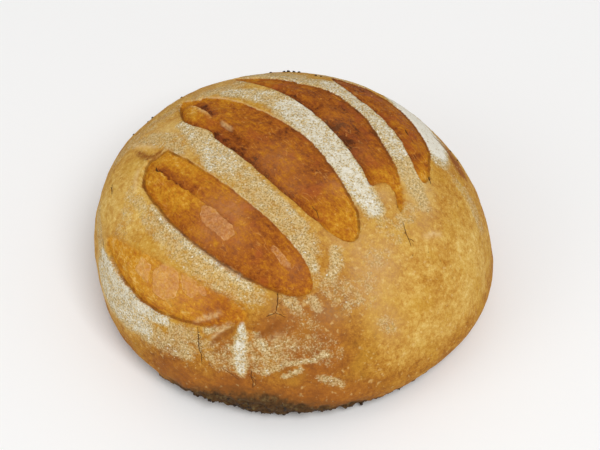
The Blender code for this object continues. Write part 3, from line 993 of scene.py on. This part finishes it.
def flour_cover(cap):
    """How thickly flour covers each point: 0 is bare, 1 nearly closed."""
    cover = np.zeros(len(cap))
    for stroke in FLOUR.values():
        points = np.array(stroke.points, float)
        distance, _, _, share = near_line(cap, points[:, :2], False)
        passed = np.concatenate([[0.0], np.cumsum(np.hypot(*np.diff(points[:, :2], axis=0).T))])
        reach = np.interp(share * passed[-1], passed, points[:, 2])
        cover = np.maximum(cover, stroke.cover * smooth((reach * STROKE_EDGE - distance) / reach))
    return cover


print("strokes of flour:", len(FLOUR))

# %% [markdown]
# ## The crust's mesh
# The ball is drawn out into the plain form, its normals are read, and the heights are added along them.
# The fields ride on the points as attributes, so the finish can be painted from them without any image.

# %% Draw the ball out into the loaf
def draw_out(bm):
    """The crust as an object, its fields, which become its points' attributes, and cap coordinates."""
    cap = cap_of(vertex_array(bm))
    arc = np.hypot(cap[:, 0], cap[:, 1])
    form = plain_form(cap)
    for vert, point in zip(bm.verts, form):
        vert.co = point
    bm.normal_update()
    normals = np.array([v.normal for v in bm.verts], float)
    slash_height, fields = slash_relief(cap)
    mark_height, mark_fields = mark_relief(cap)
    char = char_field(cap)
    shaped = form + normals * (slash_height + mark_height + skin_relief(form, arc, char))[:, None]
    shaped[:, 2] = np.where(arc >= FOOT, 0.0, shaped[:, 2].clip(0.0))
    middle = (shaped.max(axis=0) + shaped.min(axis=0)) / 2
    shaped[:, :2] += (np.array((LOAF_LOW + LOAF_HIGH) / 2) / MM - middle)[:2]
    for vert, point in zip(bm.verts, shaped * MM):
        vert.co = point
    bm.normal_update()
    mesh = bpy.data.meshes.new("crust")
    bm.to_mesh(mesh)
    bm.free()
    fields.update(mark_fields)
    fields["flour"] = flour_cover(cap)
    fields["haze"] = patch_field(cap, HAZE_PATCHES)
    fields["powder"] = patch_field(cap, POWDER_PATCHES)
    low = smooth((UNDERSIDE_HEIGHT - FOOT + arc) / UNDERSIDE_FADE)
    fields["brown"] = patch_field(cap, BROWN_PATCHES) + UNDERSIDE * low
    fields["char"] = char
    fields["above_floor"] = shaped[:, 2]
    for name, values in fields.items():
        attribute = mesh.attributes.new(name, "FLOAT", "POINT")
        attribute.data.foreach_set("value", np.asarray(values, np.float32))
    mesh.shade_smooth()
    crust = bpy.data.objects.new("crust", mesh)
    bpy.context.scene.collection.objects.link(crust)
    return crust, fields, cap


CRUST, FIELDS, CAP = draw_out(BALL)
print("the crust measures", [round(side / MM, 1) for side in CRUST.dimensions], "mm")

# %% [markdown]
# ## Shader arithmetic
# A finish is a formula: so much flour here, so dark there. Nodes make formulas hard to read, so a small
# class lets Python arithmetic add the Math nodes. Every other node comes from one method, which takes the
# node's type, its settings and what goes into its sockets.

# %% A wire that can be reckoned with
class Wire:
    """An output of a node. Arithmetic on it adds Math nodes."""

    def __init__(self, paint, socket):
        self.paint = paint
        self.socket = socket

    def maths(self, operation, *values):
        return self.paint.node("ShaderNodeMath", {"operation": operation}, dict(enumerate(values)))

    def __add__(self, other):
        return self.maths("ADD", self, other)

    __radd__ = __add__

    def __sub__(self, other):
        return self.maths("SUBTRACT", self, other)

    def __rsub__(self, other):
        return self.maths("SUBTRACT", other, self)

    def __mul__(self, other):
        return self.maths("MULTIPLY", self, other)

    __rmul__ = __mul__

    def __abs__(self):
        return self.maths("ABSOLUTE", self)

    def step(self, low, high):
        """A soft step from 0 at `low` to 1 at `high`; `low` may be the larger one."""
        sockets = {"Value": self, "From Min": low, "From Max": high}
        return self.paint.node("ShaderNodeMapRange", {"interpolation_type": "SMOOTHSTEP"}, sockets)

    def most(self, other):
        return self.maths("MAXIMUM", self, other)


FIBRE_TURN = math.radians(-52.0)
FIBRE_STRETCH = 3.2


class Paint:
    """A material, and the one method that adds a node to it."""

    def __init__(self, name):
        self.material = bpy.data.materials.new(name)
        self.material.use_nodes = True
        self.tree = self.material.node_tree
        self.shader = self.tree.nodes["Principled BSDF"]
        self.place = self.node("ShaderNodeTexCoord", output="Object")
        turn = {"Vector": self.place, "Rotation": (0, 0, FIBRE_TURN), "Scale": (FIBRE_STRETCH, 1, 1)}
        self.fibre_place = self.node("ShaderNodeMapping", {"vector_type": "TEXTURE"}, turn)

    def node(self, kind, settings=None, sockets=None, output=0):
        node = self.tree.nodes.new(kind)
        for name, value in (settings or {}).items():
            if name == "stops":
                self.set_stops(node.color_ramp, value)
            else:
                setattr(node, name, value)
        self.fill(node, sockets or {})
        return Wire(self, node.outputs[output])

    def fill(self, node, sockets):
        for name, value in sockets.items():
            if isinstance(value, Wire):
                self.tree.links.new(value.socket, node.inputs[name])
            else:
                node.inputs[name].default_value = value

    def set_stops(self, ramp, stops):
        """Gives a ramp its stops, each a place from 0 to 1 and a colour."""
        while len(ramp.elements) < len(stops):
            ramp.elements.new(1.0)
        for element, (place, stop_colour) in zip(ramp.elements, stops):
            element.position = place
            element.color = stop_colour

    def field(self, name):
        """A field of the crust's points."""
        return self.node("ShaderNodeAttribute", {"attribute_name": name}, output="Fac")

    def noise(self, size, detail=2.0, roughness=0.5, offset=0.0, place=None):
        """Smooth random values from about -1 to 1, whose bumps are `size` mm wide."""
        place = place or self.place
        if offset:
            shift = {0: place, 1: (offset, offset, offset)}
            place = self.node("ShaderNodeVectorMath", {"operation": "ADD"}, shift)
        sockets = {"Vector": place, "Scale": 1 / (size * MM), "Detail": detail, "Roughness": roughness}
        return (self.node("ShaderNodeTexNoise", None, sockets) - 0.5) * 4.0

    def mix(self, amount, first, second):
        """The first colour where `amount` is 0, the second where it is 1."""
        return self.node("ShaderNodeMix", {"data_type": "RGBA"}, {0: amount, 6: first, 7: second}, output=2)


def colour(red, green, blue):
    """A colour as seen on a screen, 0 to 255, in the linear numbers that a shader works with."""
    shares = [value / 255 for value in (red, green, blue)]
    return tuple(s / 12.92 if s <= 0.04045 else ((s + 0.055) / 1.055) ** 2.4 for s in shares) + (1.0,)


print("a tan of 204, 160, 84 is", [round(c, 3) for c in colour(204, 160, 84)], "to a shader")

# %% [markdown]
# ## The baked crust
# Bread browns by heat, so the skin and the slash floors each get one ramp of colours, from barely baked to
# almost burnt, and what varies is how far along it a place is. Fine noise in that number makes the grain
# that a crust has: pores and blisters brown a little more or less than the skin between them.

# %% Ramps of baking
SKIN_RAMP = [
    (0.00, colour(238, 212, 148)),
    (0.22, colour(220, 182, 98)),
    (0.42, colour(200, 150, 64)),
    (0.62, colour(176, 118, 38)),
    (0.84, colour(138, 84, 26)),
    (1.00, colour(98, 58, 22)),
]
FLOOR_RAMP = [
    (0.00, colour(224, 176, 96)),
    (0.20, colour(206, 144, 36)),
    (0.42, colour(186, 116, 24)),
    (0.62, colour(164, 92, 24)),
    (0.82, colour(136, 70, 22)),
    (1.00, colour(84, 40, 14)),
]
YELLOWED = colour(200, 152, 48)
TANNED = colour(176, 104, 40)
HAZE = colour(208, 168, 116)
PALE_SPOT = colour(236, 206, 138)
REDDENED = colour(166, 82, 36)
GOLD_STREAK_AND_GLINT = colour(226, 162, 84)
PINK_CRUST = colour(204, 144, 94)
SKIN_BAKE = 0.46
CELL_GRAIN, PORE_GRAIN, PATCH_GRAIN, DRIFT_GRAIN = 0.12, 0.13, 0.13, 0.08
SLOW_GRAIN, BLOTCH_GRAIN, STREAK_GRAIN, FINE_GRAIN = 0.16, 0.17, 0.18, 0.12
# Painted shade: these strengths push the trough and the lower side of each tear further along the floor
# ramp.
TROUGH_SHADE_STRENGTH, TEAR_SHADE_STRENGTH = 0.26, 0.50


def bake_skin(paint):
    """Colour of the skin between the slashes."""
    cells = paint.noise(2.6, 1.5, 0.5)
    pores = paint.noise(1.0, 2.0, 0.65)
    patches = paint.noise(7.0, 2.5, 0.6)
    brown = paint.field("brown")
    degree = brown + SKIN_BAKE + cells * CELL_GRAIN + pores * PORE_GRAIN + patches * PATCH_GRAIN
    degree = degree + paint.noise(26.0, 2.0) * DRIFT_GRAIN
    skin = paint.node("ShaderNodeValToRGB", {"stops": SKIN_RAMP}, {"Fac": degree})
    yellow = paint.noise(17.0, 2.0, 0.5, offset=4.0).step(-0.2, 0.8)
    skin = paint.mix(yellow * 0.35, skin, YELLOWED)
    skin = paint.mix(brown.step(0.12, 0.42) * 0.5, skin, TANNED)
    haze = paint.field("haze") * (0.9 + patches * 0.6 + pores * 0.4)
    skin = paint.mix(haze * 0.8, skin, HAZE)
    pale = paint.noise(3.2, 1.5, 0.5, offset=8.0).step(0.45, 0.95)
    return paint.mix(pale * 0.35, skin, PALE_SPOT)


def bake_floor(paint):
    """Colour of the slashes' floors, with painted shade in the trough behind the front edge and under
    tears.
    """
    depth = paint.field("slash_edge") * -1.0
    slow = paint.noise(9.0, 3.0, 0.6)
    blotches = paint.noise(4.0, 3.0, 0.65, offset=6.0)
    streaks = paint.noise(1.8, 3.0, 0.65, place=paint.fibre_place)
    grain = paint.noise(1.2, 2.0, 0.65)
    degree = paint.field("toast") + slow * SLOW_GRAIN + blotches * BLOTCH_GRAIN
    degree = degree + streaks * STREAK_GRAIN + grain * FINE_GRAIN
    # The trough behind a slash's front edge is painted shade: it is pushed further along the floor ramp.
    trough = paint.field("trough") * depth.step(8.0 + slow * 2.0, 1.5)
    degree = degree + trough * TROUGH_SHADE_STRENGTH + paint.field("tear_shade") * TEAR_SHADE_STRENGTH
    floor = paint.node("ShaderNodeValToRGB", {"stops": FLOOR_RAMP}, {"Fac": degree})
    red = paint.noise(14.0, 2.0, 0.5, offset=3.0).step(0.1, 0.9) * paint.field("toast").step(0.3, 0.6)
    floor = paint.mix(red * 0.55, floor, REDDENED)
    pink = paint.field("pink") * (0.6 + blotches * 0.5 + streaks * 0.4)
    floor = paint.mix(pink * 0.62, floor, PINK_CRUST)
    seam = abs(paint.noise(5.0, 1.5, 0.5, offset=2.0, place=paint.fibre_place)).step(0.09, 0.0)
    seam = seam * paint.noise(8.0, 1.0, 0.5, offset=12.0).step(0.1, 0.6)
    # Tiny gold flecks are painted glints of the glossy floor; the seams above are light streaks along its
    # fibres.
    painted_glint = paint.noise(1.8, 1.0, 0.5, offset=11.0).step(0.62, 1.0)
    painted_glint = painted_glint * paint.noise(10.0, 1.0, 0.5, offset=1.0).step(-0.1, 0.6)
    return paint.mix((seam * 0.4).most(painted_glint * 0.45), floor, GOLD_STREAK_AND_GLINT)


print("the skin's ramp has", len(SKIN_RAMP), "stops and the floors'", len(FLOOR_RAMP))

# %% [markdown]
# ## Flour on the skin
# Baked flour isn't a veil. It is a crowd of white grains a millimetre across, with the dark skin showing
# between them. So the cover is a threshold: where it is high nearly every grain is there, where it is low
# only the highest peaks of a fine noise are. Under the grains lie a thin film and a finer cream dust, and
# here and there a soft powder without grains. Olive specks break up all of it, and some grains carry a
# painted glint of pure white.

# %% Grains, film and specks
FLOUR_BASE = colour(224, 216, 192)
FLOUR_GLINT = colour(248, 246, 238)
FLOUR_FILM = colour(182, 150, 92)
THICK_FILM = colour(204, 184, 136)
FLOUR_CREAM = colour(228, 204, 154)
FLOUR_POWDER = colour(222, 198, 142)
FLOUR_SPECK = colour(142, 114, 58)
GRAIN_SIZE, DUST_SIZE, SPECK_SIZE, GLINT_SIZE, CLOUD_SIZE = 1.5, 1.1, 1.3, 1.9, 5.0
COVER_GAIN, CLOUD_GAIN, GRAIN_GAIN, GRAIN_LEVEL = 1.15, 0.24, 0.78, 0.95
POWDER_STRENGTH, FILM_STRENGTH, DUST_STRENGTH, SPECK_STRENGTH = 0.85, 0.66, 0.46, 0.74
GRAIN_STRENGTH = 0.94


def dust_flour(paint, skin):
    """The skin with flour on it, and how white it is."""
    cover = paint.field("flour")
    grains = paint.noise(GRAIN_SIZE, 2.0, 0.62)
    fine_grains = paint.noise(DUST_SIZE, 1.5, 0.5, offset=13.0)
    clouds = paint.noise(CLOUD_SIZE, 2.5, 0.6)
    powder = paint.field("powder") * (0.9 + clouds * 0.45 + grains * 0.35)
    amount = cover * COVER_GAIN + clouds * CLOUD_GAIN * cover.step(0.0, 0.3)
    thick = amount.step(0.80, 1.15)
    film = (amount + grains * 0.12).step(0.30, 1.00)
    dust = (amount + fine_grains * 0.42).step(0.40, 0.95) * cover.step(0.05, 0.30)
    white = (amount + grains * GRAIN_GAIN * cover.step(0.0, 0.15) - GRAIN_LEVEL).step(-0.14, 0.34)
    specks = paint.noise(SPECK_SIZE, 1.5, 0.5, offset=5.0).step(0.25, 0.70)
    specks = specks.most(fine_grains.step(0.0, -0.45) * 0.9)
    glints = paint.noise(GLINT_SIZE, 1.0, 0.5, offset=9.0).step(0.35, 0.80)
    dusted = paint.mix(powder * POWDER_STRENGTH, skin, FLOUR_POWDER)
    dusted = paint.mix(film * FILM_STRENGTH, dusted, paint.mix(thick, FLOUR_FILM, THICK_FILM))
    dusted = paint.mix(dust * DUST_STRENGTH, dusted, FLOUR_CREAM)
    dusted = paint.mix(film * specks * SPECK_STRENGTH, dusted, FLOUR_SPECK)
    grain_colour = paint.mix(thick, FLOUR_CREAM, FLOUR_BASE)
    # The thickest flour turns whiter, and the glints add painted highlights of pure white on some grains.
    bright = (glints * 0.8).most((amount - 1.20).step(0.0, 0.35) * 0.55)
    grain_colour = paint.mix(bright, grain_colour, FLOUR_GLINT)
    grain_colour = paint.mix(specks * (amount - 1.0).step(0.6, 0.0) * 0.60, grain_colour, FLOUR_SPECK)
    return paint.mix(white * GRAIN_STRENGTH, dusted, grain_colour), white


print("a grain of flour is", GRAIN_SIZE, "mm wide, and a speck", SPECK_SIZE, "mm")

# %% [markdown]
# ## Putting the crust's finish together
# Skin with flour outside the slashes, bare floors inside, a pale lip or a thin line of painted shade on
# the edge between them. Blisters are pale and smooth with a painted highlight on the rim, cracks are
# painted dark with shade, and the burnt band at the foot covers all of it: singed brown at first, then
# coal with a greenish grey ash on it and black clefts.

# %% Crust material
LIP_PEACH = colour(232, 198, 146)
RIM_SHADE = colour(96, 56, 22)
BLISTER_PINK = colour(214, 160, 108)
BLISTER_RIM_HIGHLIGHT = colour(234, 188, 132)
CREASE_SHADE = colour(140, 82, 30)
RIDGE_HIGHLIGHT = colour(234, 202, 146)
CRACK_SHADE = colour(70, 40, 18)
SINGED = colour(128, 80, 34)
BURNT = colour(76, 54, 30)
ASH_GREEN = colour(116, 100, 64)
CLEFT_BLACK = colour(34, 22, 12)
RIM_SHADE_STRENGTH, CRACK_SHADE_STRENGTH, SINGE_STRENGTH, COAL_STRENGTH = 0.80, 0.88, 0.75, 0.92
ROUGH_SKIN, ROUGHER_FLOUR, SMOOTHER_FLOOR = 0.72, 0.20, 0.06
SHEEN_LEVEL = 0.10


def blister_skin(paint, floor):
    """A floor with thin, paler bubbles of skin on it, each with a painted highlight rim and a thin painted
    shadow round it.
    """
    gap = paint.field("blister") + paint.noise(3.0, 2.0) * 0.5
    bubble = gap.step(0.4, -0.9) * (0.34 + paint.noise(1.6, 2.5, 0.65) * 0.40)
    floor = paint.mix(bubble, floor, BLISTER_PINK)
    rim = abs(gap + 0.35).step(0.50, 0.05) * (0.10 + paint.noise(4.0, 1.0) * 0.5)
    floor = paint.mix(rim, floor, BLISTER_RIM_HIGHLIGHT)
    shadow = abs(gap - 0.30).step(0.35, 0.05)
    return paint.mix(shadow * (0.2 + paint.noise(5.0, 1.0, offset=2.0) * 0.4), floor, CREASE_SHADE)


def mark_skin(paint, bread, edge):
    """Lips, ridges, creases, cracks, pits and rims over skin and floors, the rims darkened with painted
    shade.
    """
    broken = 0.6 + paint.noise(3.5, 2.0, 0.6) * 0.5
    lip = paint.field("lip") * edge.step(0.9, 0.2) * edge.step(-0.5, 0.0) * broken
    bread = paint.mix(lip, bread, LIP_PEACH)
    # A thin line of painted shade along a slash's edges, where the raised edge hides the floor.
    rim = paint.field("rim") * edge.step(-1.9, -0.9) * edge.step(0.25, -0.25)
    rim = rim * (0.75 + paint.noise(5.0, 1.0) * 0.35)
    bread = paint.mix(rim * RIM_SHADE_STRENGTH, bread, RIM_SHADE)
    # Ridges are painted paler along their crest: a painted highlight on the raised edge.
    ridge = paint.field("ridge") * (0.45 + paint.noise(2.0, 2.0) * 0.35)
    bread = paint.mix(ridge, bread, RIDGE_HIGHLIGHT)
    # Creases are painted darker in their grooves: painted shade.
    crease = paint.field("crease").step(1.15, 0.25) * (0.75 + paint.noise(2.0, 2.0) * 0.35)
    bread = paint.mix(crease, bread, CREASE_SHADE)
    # Cracks and pits are painted dark: the shade inside these hollows.
    width = paint.field("crack_width")
    crack = abs(paint.field("crack") + paint.noise(2.0, 2.0) * 0.18) - width
    crack = crack.step(0.22, -0.05) * width.step(0.01, 0.10)
    pit = (paint.field("pit") + paint.noise(1.5, 1.0) * 0.2).step(0.75, 0.25) * 0.7
    return paint.mix(crack.most(pit) * CRACK_SHADE_STRENGTH, bread, CRACK_SHADE)


def paint_crust():
    paint = Paint("baked_crust")
    edge = paint.field("slash_edge") + paint.noise(1.5, 2.0) * 0.18
    vague = paint.field("vague")
    inside = (edge + vague * paint.noise(4.0, 3.0, 0.6) * 0.6).step(0.1 + vague, -0.3 - vague)
    skin, white = dust_flour(paint, bake_skin(paint))
    floor = blister_skin(paint, bake_floor(paint))
    bread = mark_skin(paint, paint.mix(inside, skin, floor), edge)

    char = paint.field("char") + paint.noise(7.0, 3.0, 0.6) * 2.2 + paint.noise(2.6, 2.0, 0.6) * 2.0
    singed = char.step(-7.0, 1.5)
    burnt = char.step(-1.0, 6.0)
    bread = paint.mix(singed * SINGE_STRENGTH, bread, SINGED)
    ash = paint.noise(3.2, 3.0, 0.6).step(-0.1, 0.9)
    cleft = paint.noise(2.6, 2.0, 0.6, offset=7.0).step(0.1, 0.8)
    coal = paint.mix(cleft * 0.75, paint.mix(ash * 0.8, BURNT, ASH_GREEN), CLEFT_BLACK)
    bread = paint.mix(burnt * COAL_STRENGTH, bread, coal)

    floured = white * (1 - inside)
    rough = ROUGH_SKIN + floured * ROUGHER_FLOUR - inside * SMOOTHER_FLOOR
    bumps = paint.noise(0.9, 2.0, 0.6) * 0.09 + paint.noise(2.3, 3.0, 0.6) * 0.20 + floured * 0.12
    torn = paint.noise(4.5, 2.0, 0.6) * 0.35 + paint.noise(1.8, 2.0, place=paint.fibre_place) * 0.15
    heights = {"Height": bumps + inside * torn, "Distance": 1.0 * MM, "Strength": 1.0}
    relief = paint.node("ShaderNodeBump", None, heights, "Normal")
    paint.fill(paint.shader, {"Base Color": bread, "Roughness": rough, "Normal": relief})
    paint.shader.inputs["Specular IOR Level"].default_value = SHEEN_LEVEL
    return paint.material


CRUST.data.materials.append(paint_crust())
print("baked_crust has", len(CRUST.data.materials[0].node_tree.nodes), "nodes")

# %% [markdown]
# ## Burnt crumbs and flour clumps
# Round the foot the stone leaves burnt crumbs of dough, and a few stick to the crust's far edge. Flour
# gathers into clumps no larger than a grain of sugar. Both are many small lumps joined into one mesh, each
# sunk halfway into the crust at one of its points. Places, sizes and turns come from a random generator
# with a fixed seed, so they are the same each time.

# %% Scatter small lumps on the crust
SEED = 7
CRUMB_COUNT = 300
CRUMB_SIZES = (0.7, 2.3)
CLUMP_COUNT = 1500
CLUMP_SIZES = (0.16, 0.42)
CRUMB_FLATNESS, CLUMP_FLATNESS = 0.8, 0.7
CRUMB_START, CRUMB_FADE = 4.0, 14.0
FLOOR_CLEARANCE = 1.0
EDGE_CLEARANCE = 0.8


def add_lump(bm, spot, size, flatness, rng, corners):
    """One uneven lump, `size` mm across, sunk halfway into the crust at one of its points."""
    turn = spot.normal.to_track_quat("Z", "Y").to_matrix().to_4x4()
    turn = turn @ Matrix.Rotation(rng.random() * 2 * math.pi, 4, "Z")
    wide, deep = rng.uniform(0.7, 1.3), rng.uniform(0.7, 1.3)
    scale = Matrix.Diagonal((size * wide, size * deep, size * flatness, 1.0))
    for vert in bmesh.ops.create_icosphere(bm, subdivisions=corners, radius=0.5)["verts"]:
        vert.co *= rng.uniform(0.8, 1.2)
        vert.co = spot.co + (turn @ (scale @ vert.co)) * MM


def scatter_lumps(name, chances, count, sizes, flatness, seed, corners, extra=()):
    """One mesh of `count` lumps on points of the crust picked by their chances, and of extra ones."""
    rng = np.random.default_rng(seed)
    picked = rng.choice(len(chances), size=count, replace=False, p=chances / chances.sum())
    bm = bmesh.new()
    for index in picked:
        size = sizes[0] + (sizes[1] - sizes[0]) * rng.random() ** 2
        add_lump(bm, CRUST.data.vertices[int(index)], size, flatness, rng, corners)
    for index, size in extra:
        add_lump(bm, CRUST.data.vertices[int(index)], size, flatness, rng, corners)
    mesh = bpy.data.meshes.new(name)
    bm.to_mesh(mesh)
    bm.free()
    mesh.shade_smooth()
    lumps = bpy.data.objects.new(name, mesh)
    bpy.context.scene.collection.objects.link(lumps)
    print(name, "has", len(mesh.polygons), "triangles")
    return lumps


BACK_CRUMBS = [
    (5, 100, 2.4), (8, 101, 3.0), (11, 100, 2.6), (14, 99, 2.0), (-4, 98, 1.8), (27, 86, 1.6),
    (29, 85, 1.3), (-65, 82, 1.4), (-87, 68, 1.8), (-90, 66, 1.3), (-101, 57, 1.6), (118, 40, 1.4),
    (122, 32, 1.6),
]
EDGE_CRUMBS = [(np.argmin(np.hypot(*(CAP - np.array([x, y])).T)), size) for x, y, size in BACK_CRUMBS]
FOOT_CHANCES = smooth((FIELDS["char"] - CRUMB_START) / CRUMB_FADE)
FOOT_CHANCES = FOOT_CHANCES * (FIELDS["above_floor"] > FLOOR_CLEARANCE)
CRUMBS = scatter_lumps(
    "burnt_crumbs", FOOT_CHANCES, CRUMB_COUNT, CRUMB_SIZES, CRUMB_FLATNESS, SEED, 2, EDGE_CRUMBS
)
CLUMP_CHANCES = FIELDS["flour"].clip(0, 1) ** 2 * (FIELDS["slash_edge"] > EDGE_CLEARANCE)
CLUMPS = scatter_lumps("flour_clumps", CLUMP_CHANCES, CLUMP_COUNT, CLUMP_SIZES, CLUMP_FLATNESS, SEED + 1, 1)

# %% [markdown]
# ## Finishes of the small lumps
# Noise alone is enough at this size. The crumbs run from black to dark brown and have a fine relief, and
# the clumps run from cream to white.

# %% Finishes of the crumbs and the clumps
CRUMB_BLACK = colour(44, 30, 18)
CRUMB_BROWN = colour(98, 68, 36)
CLUMP_CREAM = colour(222, 208, 176)
CLUMP_WHITE = colour(246, 240, 226)
CRUMB_ROUGHNESS, CLUMP_ROUGHNESS = 0.75, 0.9


def paint_crumbs():
    paint = Paint("burnt_crumb")
    dark = paint.mix(paint.noise(2.0, 2.0).step(-0.4, 1.0), CRUMB_BLACK, CRUMB_BROWN)
    heights = {"Height": paint.noise(0.5, 2.0), "Distance": 0.3 * MM}
    relief = paint.node("ShaderNodeBump", None, heights, "Normal")
    paint.fill(paint.shader, {"Base Color": dark, "Normal": relief})
    paint.shader.inputs["Roughness"].default_value = CRUMB_ROUGHNESS
    return paint.material


def paint_clumps():
    paint = Paint("flour_clump")
    white = paint.mix(paint.noise(1.5, 2.0).step(-0.6, 0.9), CLUMP_CREAM, CLUMP_WHITE)
    paint.fill(paint.shader, {"Base Color": white})
    paint.shader.inputs["Roughness"].default_value = CLUMP_ROUGHNESS
    return paint.material


CRUMBS.data.materials.append(paint_crumbs())
CLUMPS.data.materials.append(paint_clumps())
print("finishes:", ", ".join(piece.data.materials[0].name for piece in (CRUST, CRUMBS, CLUMPS)))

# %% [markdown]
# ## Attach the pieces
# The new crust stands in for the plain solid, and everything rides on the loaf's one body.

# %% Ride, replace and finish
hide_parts("loaf")
for piece, slot in ((CRUST, "crust"), (CRUMBS, "burnt_crumb"), (CLUMPS, "flour")):
    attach(piece, "root")
